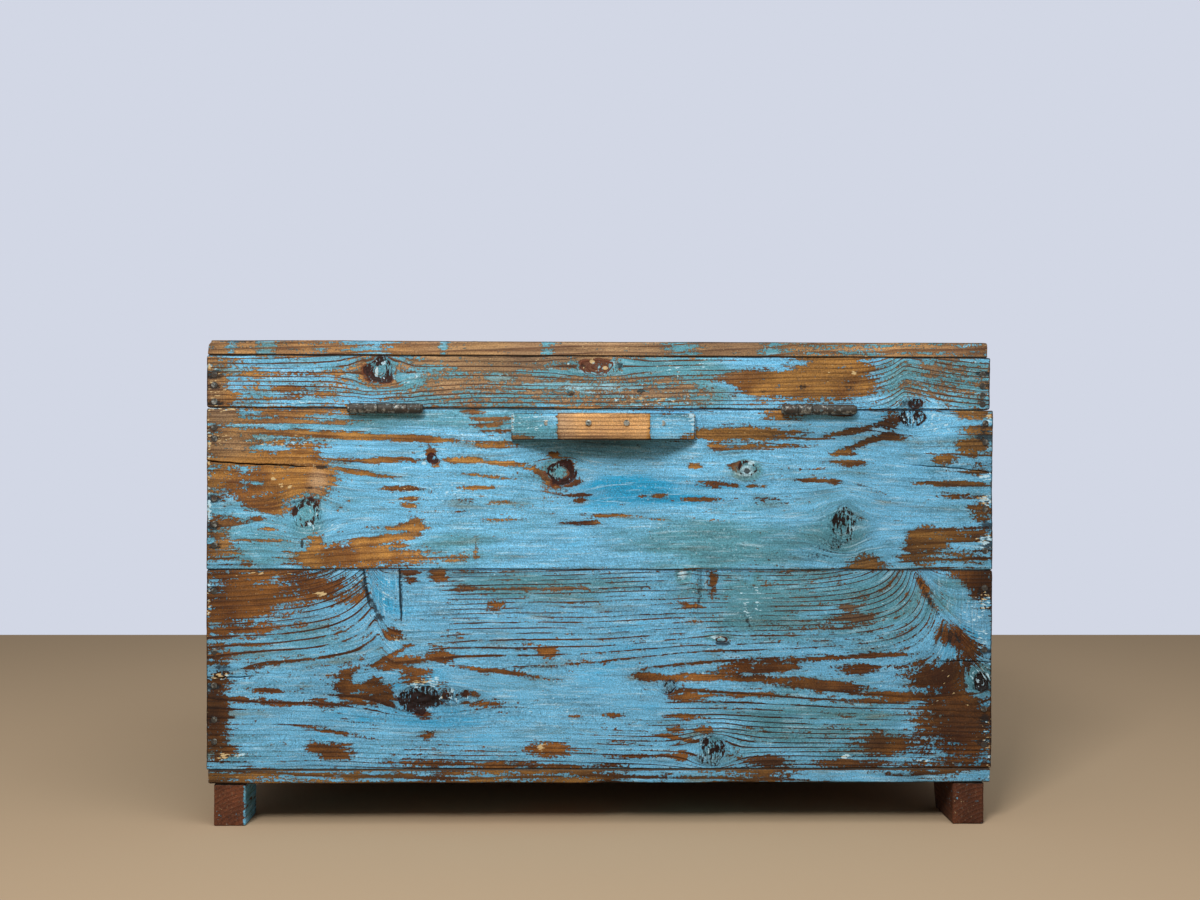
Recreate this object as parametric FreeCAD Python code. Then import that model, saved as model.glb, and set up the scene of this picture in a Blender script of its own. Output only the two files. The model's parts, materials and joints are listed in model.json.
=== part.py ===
import FreeCAD
import Part

import math
import os

# Painted softwood trunk: a nailed case of plain boards on four feet, a flat lid on two
# butt hinges, and a tapered lid stop screwed to the hinge side.
# Lengths are in millimetres. X runs along the trunk, Y from the hinge side to the front,
# Z up. Left and right are as seen facing the hinge side. The origin lies on the floor in
# the middle of the footprint, lid stop included.

# Case
case_length = 1000.0
case_depth = 570.0
board_thickness = 20.0
lower_board_height = 254.0
upper_board_height = 204.0
bottom_thickness = 18.0
bottom_plank_setback = 2.0
edge_softening = 1.5

# Feet. The rear right one is longer, and its inner end slopes.
foot_height = 54.0
foot_width = 40.0
foot_depth = 76.0
foot_end_inset = 9.0
foot_setback = 3.0
long_foot_depth = 98.0
long_foot_slope = 24.0

# Lid
lid_gap = 0.4
lid_rail_height = 67.0
lid_right_setback = 4.0
lid_plank_thickness = 19.0
lid_plank_left_setback = 1.5
lid_plank_right_setback = 4.0
lid_edge_rounding = 5.0
batten_width = 60.0
batten_thickness = 20.0
batten_end_clearance = 0.5

# Lid stop on the hinge side
stop_length = 233.5
stop_flat_length = 113.0
stop_height = 34.0
stop_proud = 36.0
stop_end_proud = 7.0
stop_offset = 1.5
stop_drop = 5.0
stop_clearance = 0.3

# Screws of the lid stop
stop_screw_radius = 2.0
stop_screw_head_radius = 3.9
stop_screw_head_height = 1.9
stop_screw_head_rounding = 1.2

# Butt hinges
left_hinge_inset = 226.0
right_hinge_inset = 224.5
leaf_length = 90.0
leaf_thickness = 2.0
leaf_inner_margin = 3.0
leaf_face_gap = 0.4
mortise_clearance = 0.3
knuckle_radius = 6.6
knuckle_gap = 0.3
knuckle_rounding = 0.5
knuckle_count = 5
barrel_clearance = 0.4
pin_radius = 2.5
pin_clearance = 0.05
pin_head_radius = 5.4
pin_head_length = 3.0
pin_head_rounding = 2.2

# Hinge screws, countersunk
hinge_screw_radius = 2.0
hinge_screw_head_radius = 4.0
hinge_screw_head_depth = 1.6
hinge_screw_length = 26.0
hinge_screw_end_inset = 14.0

# Screwdriver slots
slot_width = 0.9
slot_depth = 0.7

# Nails
nail_radius = 1.6
nail_head_radius = 4.0
nail_head_thickness = 1.2
nail_head_rounding = 0.5
nail_head_proud = 0.3
nail_sink = 0.2
corner_nail_bite = 34.0
plank_nail_bite = 26.0

# Fit of every nail and screw in its hole, the room past its tip, and the overrun of cuts
hole_clearance = 0.05
tip_clearance = 0.5
overrun = 5.0

# Widths of the three planks of lid and bottom, from the hinge side, as shares of the depth
plank_width_shares = (0.35, 0.32, 0.33)

# Heights of the corner nails, as shares of the height of the board that they hold
rear_lower_left_shares = (0.14, 0.25, 0.42, 0.59, 0.89)
rear_lower_right_shares = (0.12, 0.30, 0.60, 0.91)
rear_upper_left_shares = (0.15, 0.28, 0.44, 0.81, 0.88)
rear_upper_right_shares = (0.12, 0.38, 0.80, 0.92)
front_lower_shares = (0.10, 0.36, 0.64, 0.90)
front_upper_shares = (0.13, 0.38, 0.62, 0.87)
rail_left_shares = (0.12, 0.43, 0.62)
rail_right_shares = (0.11, 0.28, 0.46, 0.68)

# Places of the other nails, as shares of the length and depth of the case or lid, of the
# part of a foot that lies inside the walls, and of the thickness or height that they bite
long_nail_shares = (0.08, 0.16, 0.34, 0.50, 0.66, 0.84, 0.92)
bottom_side_nail_shares = (0.26, 0.32, 0.42, 0.58, 0.71, 0.80)
lid_side_nail_shares = (0.14, 0.27, 0.42, 0.60, 0.74, 0.86)
foot_nail_shares = (0.28, 0.74)
foot_nail_bite_share = 0.8
batten_nail_bite_share = 0.7

# Places of the stop's screws from its middle, their drop from its top and their bite in
# the wall, as shares of the stop's length, its height and the wall
stop_screw_shares = (-0.305, -0.083, 0.121, 0.315)
stop_screw_drop_share = 0.37
stop_screw_bite_share = 0.7

# Where things lie
left_end = -case_length / 2
right_end = case_length / 2
rear_proud = stop_proud + stop_screw_head_height
rear_face = rear_proud - (rear_proud + case_depth + nail_head_proud) / 2
front_face = rear_face + case_depth
inner_left = left_end + board_thickness
inner_right = right_end - board_thickness
inner_rear = rear_face + board_thickness
inner_front = front_face - board_thickness
floor_low = foot_height
floor_top = floor_low + bottom_thickness
board_seam = floor_top + lower_board_height
case_top = board_seam + upper_board_height
rail_low = case_top + lid_gap
rail_top = rail_low + lid_rail_height
lid_top = rail_top + lid_plank_thickness
lid_left = left_end
lid_right = right_end - lid_right_setback
lid_middle = (lid_left + lid_right) / 2
plank_edges = [rear_face + case_depth * sum(plank_width_shares[:i]) for i in range(3)]
plank_edges.append(front_face)
plank_places = list(zip(("rear", "middle", "front"), plank_edges, plank_edges[1:]))

hinge_height = case_top + lid_gap / 2
hinge_line = rear_face - barrel_clearance - knuckle_radius
leaf_end = inner_rear - leaf_inner_margin
stop_top = case_top - stop_drop
stop_low = stop_top - stop_height

X_AXIS = FreeCAD.Vector(1, 0, 0)
Y_AXIS = FreeCAD.Vector(0, 1, 0)
Z_AXIS = FreeCAD.Vector(0, 0, 1)


def point(x, y, z):
    return FreeCAD.Vector(x, y, z)


def block(x0, x1, y0, y1, z0, z1):
    """A plain box between two corners."""
    return Part.makeBox(x1 - x0, y1 - y0, z1 - z0, point(x0, y0, z0))


def softened(shape):
    """A sawn piece with all its edges slightly rounded."""
    return shape.makeFillet(edge_softening, shape.Edges)


def board(x0, x1, y0, y1, z0, z1):
    return softened(block(x0, x1, y0, y1, z0, z1))


def prism(corners, along):
    """A softened piece with one flat outline, drawn out along a vector."""
    face = Part.Face(Part.makePolygon(corners + corners[:1]))
    return softened(face.extrude(along))


def round_edges(shape):
    return [edge for edge in shape.Edges if isinstance(edge.Curve, Part.Circle)]


def domed(radius, height, rounding):
    """A disc on the floor of its own frame with its top rim rounded."""
    disc = Part.makeCylinder(radius, height)
    rim = max(round_edges(disc), key=lambda edge: edge.CenterOfMass.z)
    return disc.makeFillet(rounding, [rim])


def shank(radius, length):
    """A cylinder that hangs from the floor of its own frame."""
    return Part.makeCylinder(radius, length, point(0, 0, -length))


def slot(radius, floor):
    """The cut of a screwdriver slot across a head."""
    half = slot_width / 2
    return block(-radius, radius, -half, half, floor, floor + overrun)


def placed(shape, place, direction):
    """A copy of a shape made on +Z, set at a place and turned to a direction."""
    copy = shape.copy()
    copy.Placement = FreeCAD.Placement(place, FreeCAD.Rotation(Z_AXIS, direction))
    return copy


class Fasteners:
    """Nails or screws driven into the trunk, with the holes that they need."""

    def __init__(self):
        self.solids = []
        self.holes = []

    def drive(self, solid, hole, place, direction):
        self.solids.append(placed(solid, place, direction))
        self.holes.append(placed(hole, place, direction))

    def group(self):
        return Part.makeCompound(self.solids)


def nail(length):
    """A flat-headed nail. The underside of its head lies at zero."""
    return domed(nail_head_radius, nail_head_thickness, nail_head_rounding).fuse(shank(nail_radius, length))


def nail_hole(length):
    mouth = Part.makeCylinder(nail_head_radius + hole_clearance, nail_head_thickness + overrun)
    return mouth.fuse(shank(nail_radius + hole_clearance, length + tip_clearance))


def drive_nail(fasteners, length, place, direction, sunk):
    """Drives a nail with its head sunk below the surface or standing a little proud of it."""
    depth = nail_head_thickness + (nail_sink if sunk else -nail_head_proud)
    fasteners.drive(nail(length), nail_hole(length), place - direction * depth, direction)


# Corner nails go through the long boards into the ends of the short ones.
def corner_nails(fasteners, shares, low, height, x, side):
    """A row of nails up one corner, on the rear face for side -1 or the front face for side 1."""
    face = rear_face if side < 0 else front_face
    for share in shares:
        place = point(x, face, low + share * height)
        drive_nail(fasteners, board_thickness + corner_nail_bite, place, Y_AXIS * side, False)


case_nail_line_left = left_end + board_thickness / 2
case_nail_line_right = right_end - board_thickness / 2
lid_nail_line_left = lid_left + board_thickness / 2
lid_nail_line_right = lid_right - board_thickness / 2

rear_wall_nails = Fasteners()
corner_nails(rear_wall_nails, rear_lower_left_shares, floor_top, lower_board_height, case_nail_line_left, -1)
corner_nails(rear_wall_nails, rear_lower_right_shares, floor_top, lower_board_height, case_nail_line_right, -1)
corner_nails(rear_wall_nails, rear_upper_left_shares, board_seam, upper_board_height, case_nail_line_left, -1)
corner_nails(rear_wall_nails, rear_upper_right_shares, board_seam, upper_board_height, case_nail_line_right, -1)

front_wall_nails = Fasteners()
for line in (case_nail_line_left, case_nail_line_right):
    corner_nails(front_wall_nails, front_lower_shares, floor_top, lower_board_height, line, 1)
    corner_nails(front_wall_nails, front_upper_shares, board_seam, upper_board_height, line, 1)

lid_frame_nails = Fasteners()
for side in (-1, 1):
    corner_nails(lid_frame_nails, rail_left_shares, rail_low, lid_rail_height, lid_nail_line_left, side)
    corner_nails(lid_frame_nails, rail_right_shares, rail_low, lid_rail_height, lid_nail_line_right, side)


def make_bottom_nails():
    """Nails up through the bottom planks into the walls."""
    nails = Fasteners()
    length = bottom_thickness + plank_nail_bite
    places = [
        (left_end + share * case_length, y)
        for share in long_nail_shares
        for y in (rear_face + board_thickness / 2, front_face - board_thickness / 2)
    ]
    places += [
        (x, rear_face + share * case_depth)
        for share in bottom_side_nail_shares
        for x in (case_nail_line_left, case_nail_line_right)
    ]
    for x, y in places:
        drive_nail(nails, length, point(x, y, floor_low), -Z_AXIS, True)
    return nails


def make_lid_plank_nails():
    """Nails down through the lid planks into the rails, and shorter ones into the batten."""
    nails = Fasteners()
    length = lid_plank_thickness + plank_nail_bite
    short_length = lid_plank_thickness + batten_nail_bite_share * batten_thickness
    for share in long_nail_shares:
        x = lid_left + share * (lid_right - lid_left)
        for y in (rear_face + board_thickness / 2, front_face - board_thickness / 2):
            drive_nail(nails, length, point(x, y, lid_top), Z_AXIS, True)
    for share in lid_side_nail_shares:
        y = rear_face + share * case_depth
        drive_nail(nails, length, point(lid_nail_line_left, y, lid_top), Z_AXIS, True)
        drive_nail(nails, length, point(lid_nail_line_right, y, lid_top), Z_AXIS, True)
        drive_nail(nails, short_length, point(lid_middle, y, lid_top), Z_AXIS, True)
    return nails


def make_foot_nails():
    """Nails down through the bottom planks into the feet, with their heads inside the case."""
    nails = Fasteners()
    length = bottom_thickness + foot_nail_bite_share * foot_height
    near = board_thickness
    far = foot_setback + foot_depth
    foot_inner_end = foot_end_inset + foot_width
    inset = (board_thickness + foot_inner_end) / 2
    for x in (left_end + inset, right_end - inset):
        for share in foot_nail_shares:
            reach = near + share * (far - near)
            drive_nail(nails, length, point(x, rear_face + reach, floor_top), Z_AXIS, True)
            drive_nail(nails, length, point(x, front_face - reach, floor_top), Z_AXIS, True)
    return nails


bottom_nails = make_bottom_nails()
lid_plank_nails = make_lid_plank_nails()
foot_nails = make_foot_nails()


# Lid stop: full depth in the middle, tapering to its ends
def stop_front(along):
    """How far the stop stands out of the wall at a distance from its middle."""
    beyond_flat = max(0.0, abs(along) - stop_flat_length / 2)
    taper_length = (stop_length - stop_flat_length) / 2
    return stop_proud - beyond_flat / taper_length * (stop_proud - stop_end_proud)


def stop_screw(length):
    """A round-headed screw. The underside of its head lies at zero."""
    head = domed(stop_screw_head_radius, stop_screw_head_height, stop_screw_head_rounding)
    groove = slot(stop_screw_head_radius, stop_screw_head_height - slot_depth)
    return head.fuse(shank(stop_screw_radius, length)).cut(groove)


def stop_screw_hole(length):
    """The hole, with a seat for the head where the stop's front slopes."""
    seat = Part.makeCylinder(stop_screw_head_radius + hole_clearance, stop_proud)
    return seat.fuse(shank(stop_screw_radius + hole_clearance, length + tip_clearance))


def make_stop_screws():
    screws = Fasteners()
    for share in stop_screw_shares:
        along = share * stop_length
        outer_rim = abs(along) + stop_screw_head_radius
        length = stop_front(outer_rim) + stop_screw_bite_share * board_thickness
        place = point(
            stop_offset + along,
            rear_face - stop_front(outer_rim),
            stop_top - stop_screw_drop_share * stop_height,
        )
        screws.drive(stop_screw(length), stop_screw_hole(length), place, -Y_AXIS)
    return screws


lid_stop_screws = make_stop_screws()


def lid_stop_block():
    distances = (-stop_length / 2, -stop_flat_length / 2, stop_flat_length / 2, stop_length / 2)
    front = [point(stop_offset + d, rear_face - stop_front(d), stop_low) for d in distances]
    back = [point(stop_offset + d, rear_face, stop_low) for d in (distances[-1], distances[0])]
    return prism(front + back, Z_AXIS * stop_height).cut(lid_stop_screws.holes)


def open_angle():
    """The turn at which the lid's rear rail comes to rest on the stop's outer edge."""
    out = stop_proud - (rear_face - hinge_line)
    down = hinge_height - stop_top
    arm = rear_face - hinge_line - stop_clearance
    return 90 + math.degrees(math.atan2(down, out) + math.asin(arm / math.hypot(out, down)))


# Hinges. The case leaf has the first, third and fifth knuckles, the lid leaf the others.
knuckle_length = (leaf_length - (knuckle_count - 1) * knuckle_gap) / knuckle_count


def sunk_cone(head_radius, radius):
    """A countersink that narrows downwards from zero."""
    return Part.makeCone(head_radius, radius, hinge_screw_head_depth, point(0, 0, 0), -Z_AXIS)


def hinge_screw():
    """A countersunk screw with its flat face at zero."""
    head = sunk_cone(hinge_screw_head_radius, hinge_screw_radius)
    groove = slot(hinge_screw_head_radius, -slot_depth)
    return head.fuse(shank(hinge_screw_radius, hinge_screw_length)).cut(groove)


def hinge_screw_hole():
    head_radius = hinge_screw_head_radius + hole_clearance
    radius = hinge_screw_radius + hole_clearance
    head = sunk_cone(head_radius, radius)
    mouth = Part.makeCylinder(head_radius, leaf_face_gap)
    return head.fuse([shank(radius, hinge_screw_length + tip_clearance), mouth])


def rod(radius, x0, x1):
    """A cylinder on the hinge line."""
    return Part.makeCylinder(radius, x1 - x0, point(x0, hinge_line, hinge_height), X_AXIS)


class Hinge:
    """One butt hinge centred at x, with the cuts in the boards that hold it."""

    def __init__(self, x):
        self.middle = x
        self.low = x - leaf_length / 2
        self.high = x + leaf_length / 2
        self.case_screws = self.screws(-Z_AXIS)
        self.lid_screws = self.screws(Z_AXIS)
        self.case_leaf = self.leaf(-1, 0).cut(self.case_screws.holes)
        self.lid_leaf = self.leaf(1, 1).cut(self.lid_screws.holes)
        self.pin = self.headed_pin()

    def screws(self, into):
        """Three screws along the leaf, driven along into."""
        row = Fasteners()
        reach = leaf_length / 2 - hinge_screw_end_inset
        y = (rear_face + leaf_end) / 2
        z = hinge_height + into.z * leaf_face_gap / 2
        for along in (-reach, 0, reach):
            row.drive(hinge_screw(), hinge_screw_hole(), point(self.middle + along, y, z), -into)
        return row

    def leaf(self, side, first):
        """The leaf above the seam for side 1 or below it for side -1, with every other knuckle."""
        near = hinge_height + side * leaf_face_gap / 2
        far = near + side * leaf_thickness
        low = min(near, far)
        high = max(near, far)
        plate_edge = hinge_line + knuckle_radius + mortise_clearance
        pieces = []
        for i in range(first, knuckle_count, 2):
            x0 = self.low + i * (knuckle_length + knuckle_gap)
            x1 = x0 + knuckle_length
            barrel = rod(knuckle_radius, x0, x1)
            pieces.append(barrel.makeFillet(knuckle_rounding, round_edges(barrel)))
            pieces.append(block(x0, x1, hinge_line, plate_edge, low, high))
        plate = block(self.low, self.high, plate_edge, leaf_end, low, high)
        bore = rod(pin_radius + pin_clearance, self.low - overrun, self.high + overrun)
        return plate.fuse(pieces).cut(bore).removeSplitter()

    def headed_pin(self):
        """The pin with a rounded head at each end of the barrel."""
        reach = self.high - self.middle + pin_clearance
        pieces = []
        for side in (-1, 1):
            inner = self.middle + side * reach
            outer = inner + side * pin_head_length
            head = rod(pin_head_radius, min(inner, outer), max(inner, outer))
            rim = max(round_edges(head), key=lambda edge: abs(edge.CenterOfMass.x - self.middle))
            pieces.append(head.makeFillet(pin_head_rounding, [rim]))
        return rod(pin_radius, self.middle - reach, self.middle + reach).fuse(pieces)

    def mortise(self, side):
        """The pocket for a leaf in the edge of the board above or below the seam."""
        near = hinge_height - side * lid_gap / 2
        far = hinge_height + side * (leaf_face_gap / 2 + leaf_thickness)
        return block(
            self.low - mortise_clearance,
            self.high + mortise_clearance,
            rear_face - overrun,
            leaf_end + mortise_clearance,
            min(near, far),
            max(near, far),
        )


hinges = {
    "left": Hinge(left_end + left_hinge_inset),
    "right": Hinge(right_end - right_hinge_inset),
}


# Case: the long boards run the full length and cover the ends of the short ones.
def wall_boards():
    corner_holes = rear_wall_nails.holes + front_wall_nails.holes
    hinge_cuts = [hinge.mortise(-1) for hinge in hinges.values()]
    for hinge in hinges.values():
        hinge_cuts += hinge.case_screws.holes
    made = {}
    for level, low, high in (("lower", floor_top, board_seam), ("upper", board_seam, case_top)):
        made[f"rear_wall_{level}_board"] = board(left_end, right_end, rear_face, inner_rear, low, high)
        made[f"front_wall_{level}_board"] = board(left_end, right_end, inner_front, front_face, low, high)
        made[f"left_wall_{level}_board"] = board(left_end, inner_left, inner_rear, inner_front, low, high)
        made[f"right_wall_{level}_board"] = board(inner_right, right_end, inner_rear, inner_front, low, high)
    made = {name: shape.cut(corner_holes + bottom_nails.holes) for name, shape in made.items()}
    upper = made["rear_wall_upper_board"]
    made["rear_wall_upper_board"] = upper.cut(hinge_cuts + lid_stop_screws.holes)
    return made


def bottom_planks():
    x0 = left_end + bottom_plank_setback
    x1 = right_end - bottom_plank_setback
    cuts = bottom_nails.holes + foot_nails.holes
    return {
        f"bottom_plank_{name}": board(x0, x1, y0, y1, floor_low, floor_top).cut(cuts)
        for name, y0, y1 in plank_places
    }


def foot(x0, side, depth, slope):
    """A sawn block on the rear side for side -1 or the front side for side 1."""
    face = rear_face + foot_setback if side < 0 else front_face - foot_setback
    corners = [
        point(x0, face, 0),
        point(x0, face - side * depth, 0),
        point(x0, face - side * (depth + slope), foot_height),
        point(x0, face, foot_height),
    ]
    return prism(corners, X_AXIS * foot_width).cut(foot_nails.holes)


def feet():
    left = left_end + foot_end_inset
    right = right_end - foot_end_inset - foot_width
    return {
        "foot_rear_left": foot(left, -1, foot_depth, 0),
        "foot_rear_right": foot(right, -1, long_foot_depth, long_foot_slope),
        "foot_front_left": foot(left, 1, foot_depth, 0),
        "foot_front_right": foot(right, 1, foot_depth, 0),
    }


# Lid: a nailed frame, and a batten inside that ties the three planks together
def lid_frame():
    inner_lid_left = lid_left + board_thickness
    inner_lid_right = lid_right - board_thickness
    batten_reach = batten_width / 2
    hinge_cuts = [hinge.mortise(1) for hinge in hinges.values()]
    for hinge in hinges.values():
        hinge_cuts += hinge.lid_screws.holes
    made = {
        "lid_rear_rail": board(lid_left, lid_right, rear_face, inner_rear, rail_low, rail_top).cut(hinge_cuts),
        "lid_front_rail": board(lid_left, lid_right, inner_front, front_face, rail_low, rail_top),
        "lid_left_rail": board(lid_left, inner_lid_left, inner_rear, inner_front, rail_low, rail_top),
        "lid_right_rail": board(inner_lid_right, lid_right, inner_rear, inner_front, rail_low, rail_top),
        "lid_batten": board(
            lid_middle - batten_reach,
            lid_middle + batten_reach,
            inner_rear + batten_end_clearance,
            inner_front - batten_end_clearance,
            rail_top - batten_thickness,
            rail_top,
        ),
    }
    cuts = lid_frame_nails.holes + lid_plank_nails.holes
    return {name: shape.cut(cuts) for name, shape in made.items()}


def lid_planks():
    """Three planks whose outer top edges are rounded more than the rest."""
    x0 = lid_left + lid_plank_left_setback
    x1 = lid_right - lid_plank_right_setback
    slab = block(x0, x1, rear_face, front_face, rail_top, lid_top)
    top_edges = [edge for edge in slab.Edges if edge.CenterOfMass.z > (lid_top + slab.CenterOfMass.z) / 2]
    slab = slab.makeFillet(lid_edge_rounding, top_edges)
    return {
        f"lid_plank_{name}": board(x0, x1, y0, y1, rail_top, lid_top).common(slab).cut(lid_plank_nails.holes)
        for name, y0, y1 in plank_places
    }


def hardware():
    made = {
        "rear_wall_nails": rear_wall_nails.group(),
        "front_wall_nails": front_wall_nails.group(),
        "bottom_nails": bottom_nails.group(),
        "foot_nails": foot_nails.group(),
        "lid_frame_nails": lid_frame_nails.group(),
        "lid_plank_nails": lid_plank_nails.group(),
        "lid_stop_screws": lid_stop_screws.group(),
    }
    for side, hinge in hinges.items():
        made[f"{side}_hinge_case_leaf"] = hinge.case_leaf
        made[f"{side}_hinge_lid_leaf"] = hinge.lid_leaf
        made[f"{side}_hinge_pin"] = hinge.pin
        made[f"{side}_hinge_case_screws"] = hinge.case_screws.group()
        made[f"{side}_hinge_lid_screws"] = hinge.lid_screws.group()
    return made


pieces = {
    **wall_boards(),
    **bottom_planks(),
    **feet(),
    **lid_frame(),
    **lid_planks(),
    "lid_stop_block": lid_stop_block(),
    **hardware(),
}

os.makedirs("parts", exist_ok=True)
for name, shape in pieces.items():
    shape.exportStep(f"parts/{name}.step")
    print(f"{name}: {len(shape.Solids)} solids, {shape.Volume:.0f} mm3, valid {shape.isValid()}")
print(f"{len(pieces)} nodes; the lid opens {open_angle():.2f} degrees")
print(f"hinge line: y {hinge_line:.3f}, z {hinge_height:.3f}")
print(f"inside: x {inner_left} to {inner_right}, y {inner_rear:.2f} to {inner_front:.2f}, z {floor_top} up")
print(f"faces: rear {rear_face:.3f}, front {front_face:.3f}; lid top {lid_top}; planks {plank_edges}")
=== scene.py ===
import json
import math
from dataclasses import dataclass, field

import bpy
import numpy as np
from mathutils import Matrix, Vector


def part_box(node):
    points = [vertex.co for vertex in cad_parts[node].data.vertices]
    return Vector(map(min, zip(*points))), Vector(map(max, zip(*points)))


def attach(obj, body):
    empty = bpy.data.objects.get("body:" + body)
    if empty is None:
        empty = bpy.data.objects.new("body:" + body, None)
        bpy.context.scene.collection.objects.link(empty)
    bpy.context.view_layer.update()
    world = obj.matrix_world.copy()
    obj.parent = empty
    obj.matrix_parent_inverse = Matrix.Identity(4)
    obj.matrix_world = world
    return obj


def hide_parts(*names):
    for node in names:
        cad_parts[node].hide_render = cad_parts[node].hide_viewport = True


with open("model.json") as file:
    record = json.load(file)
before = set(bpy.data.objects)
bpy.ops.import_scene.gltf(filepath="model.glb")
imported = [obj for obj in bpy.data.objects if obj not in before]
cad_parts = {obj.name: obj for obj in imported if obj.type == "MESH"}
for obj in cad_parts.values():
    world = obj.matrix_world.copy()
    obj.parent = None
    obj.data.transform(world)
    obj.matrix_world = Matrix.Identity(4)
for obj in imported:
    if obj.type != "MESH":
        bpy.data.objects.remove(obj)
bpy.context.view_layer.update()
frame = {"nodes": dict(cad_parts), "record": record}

# The painted trunk seen from its hinge side. Every board is carved from its own box in the
# frame: rounded and chipped edges, splits, knots, and the lie of its grain. One weathered
# wood finish reads what the carving leaves on each point of the surface.
# Lengths are in metres. Places on the photographed side are in pixels of the photograph.

MM = 0.001
rear_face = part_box("rear_wall_upper_board")[0][1]

# Camera, fitted to the corners of the boards and feet
PHOTO_WIDE = 1200
PHOTO_HIGH = 900
FOCAL_PIXELS = 1650.0
CAMERA_PLACE = Vector((-0.0516, rear_face - 2.0956, 0.4981))
CAMERA_YAW = math.radians(1.342)
CAMERA_PITCH = math.radians(-0.542)
CAMERA_ROLL = math.radians(0.162)
SENSOR = 36.0

camera_matrix = (
    Matrix.Translation(CAMERA_PLACE)
    @ Matrix.Rotation(-CAMERA_YAW, 4, "Z")
    @ Matrix.Rotation(math.pi / 2 + CAMERA_PITCH, 4, "X")
    @ Matrix.Rotation(CAMERA_ROLL, 4, "Z")
)

# One pixel of the photograph on the photographed face
PIXEL = 1.0 / 786


def photo_pixels(points):
    """The photograph's pixel at which the camera sees each point."""
    turn = np.array(camera_matrix.inverted())
    seen = points @ turn[:3, :3].T + turn[:3, 3]
    right = PHOTO_WIDE / 2 + FOCAL_PIXELS * seen[:, 0] / -seen[:, 2]
    down = PHOTO_HIGH / 2 - FOCAL_PIXELS * seen[:, 1] / -seen[:, 2]
    return right, down


def smooth(value, low, high):
    """A smooth step from 0 at low to 1 at high."""
    share = np.clip((value - low) / (high - low), 0, 1)
    return share * share * (3 - 2 * share)


# How many waves make up each octave of the ripples, and what brings their sum to about 1
WAVES = 4
WAVES_SUM = 3


def ripples(points, size, seed, octaves=3):
    """Smooth random waves over points, about -1 to 1. Size is the longest wave along each axis."""
    rng = np.random.default_rng(seed)
    total = np.zeros(len(points))
    for octave in range(octaves):
        for _ in range(WAVES):
            direction = rng.normal(size=3)
            direction *= 2 ** octave / np.linalg.norm(direction)
            phase = rng.uniform(0, 2 * math.pi)
            total += np.sin(2 * math.pi * (points / size) @ direction + phase) / 2 ** octave / WAVES_SUM
    return total


# Shader graphs


class Socket:
    """An output of a node that takes part in Python arithmetic."""

    def __init__(self, graph, output):
        self.graph = graph
        self.output = output

    def maths(self, operation, *values):
        """One step of arithmetic on these values."""
        return self.graph.node("ShaderNodeMath", {"operation": operation}, dict(enumerate(values)))

    def __add__(self, other):
        return self.maths("ADD", self, other)

    def __radd__(self, other):
        return self.maths("ADD", other, self)

    def __sub__(self, other):
        return self.maths("SUBTRACT", self, other)

    def __rsub__(self, other):
        return self.maths("SUBTRACT", other, self)

    def __mul__(self, other):
        if isinstance(other, tuple):
            settings = {"operation": "MULTIPLY"}
            return self.graph.node("ShaderNodeVectorMath", settings, {0: self, 1: other})
        return self.maths("MULTIPLY", self, other)

    def __rmul__(self, other):
        return self.maths("MULTIPLY", other, self)


def colour(red, green, blue):
    """A colour as a screen shows it, 0 to 255, as the shader's own linear colour."""
    shares = [value / 255 for value in (red, green, blue)]
    return [*(s / 12.92 if s <= 0.04045 else ((s + 0.055) / 1.055) ** 2.4 for s in shares), 1.0]


class Graph:
    """A material whose nodes are written as expressions."""

    def __init__(self, name):
        self.material = bpy.data.materials.new(name)
        self.material.use_nodes = True
        self.tree = self.material.node_tree
        self.tree.nodes.clear()

    def node(self, kind, settings=None, inputs=None, output=0):
        """Adds a node: its settings first, then the values or links of its sockets."""
        made = self.tree.nodes.new(kind)
        for key, value in (settings or {}).items():
            setattr(made, key, value)
        for key, value in (inputs or {}).items():
            if isinstance(value, Socket):
                self.tree.links.new(value.output, made.inputs[key])
            else:
                made.inputs[key].default_value = value
        return Socket(self, made.outputs[output])

    def attribute(self, name):
        """What the carving left at each point under this name."""
        return self.node("ShaderNodeAttribute", {"attribute_name": name}, output="Fac")

    def vector(self, x, y, z):
        return self.node("ShaderNodeCombineXYZ", None, {0: x, 1: y, 2: z})

    def place(self):
        """The point on the object, in metres, in the shared frame."""
        return self.node("ShaderNodeTexCoord", output="Object")

    def noise(self, place, scale=1.0, detail=2.0, rough=0.5):
        """Smooth noise about 0.5, at so many waves per unit of the place."""
        inputs = {"Vector": place, "Scale": scale, "Detail": detail, "Roughness": rough}
        return self.node("ShaderNodeTexNoise", {"noise_dimensions": "3D"}, inputs)

    def step(self, value, low, high):
        """A smooth step from 0 at low to 1 at high."""
        settings = {"interpolation_type": "SMOOTHSTEP"}
        return self.node("ShaderNodeMapRange", settings, {0: value, 1: low, 2: high, 3: 0.0, 4: 1.0})

    def mix(self, factor, first, second):
        """From the first colour to the second."""
        settings = {"data_type": "RGBA"}
        return self.node("ShaderNodeMix", settings, {0: factor, 6: first, 7: second}, output=2)

    def scale(self, shade, factor):
        """A colour made darker or lighter."""
        return self.node("ShaderNodeVectorMath", {"operation": "SCALE"}, {0: shade, "Scale": factor})

    def surface(self, base, roughness, height=None, **fixed):
        """Ends the graph in a Principled surface. Height is in metres."""
        inputs = {"Base Color": base, "Roughness": roughness}
        if height is not None:
            inputs["Normal"] = self.node("ShaderNodeBump", None, {"Height": height, "Distance": 1.0})
        for key, value in fixed.items():
            inputs[key.replace("_", " ")] = value
        shader = self.node("ShaderNodeBsdfPrincipled", None, inputs)
        self.node_output(shader)
        return self.material

    def node_output(self, shader):
        """Makes a shader what the surface shows."""
        end = self.tree.nodes.new("ShaderNodeOutputMaterial")
        self.tree.links.new(shader.output, end.inputs["Surface"])


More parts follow.
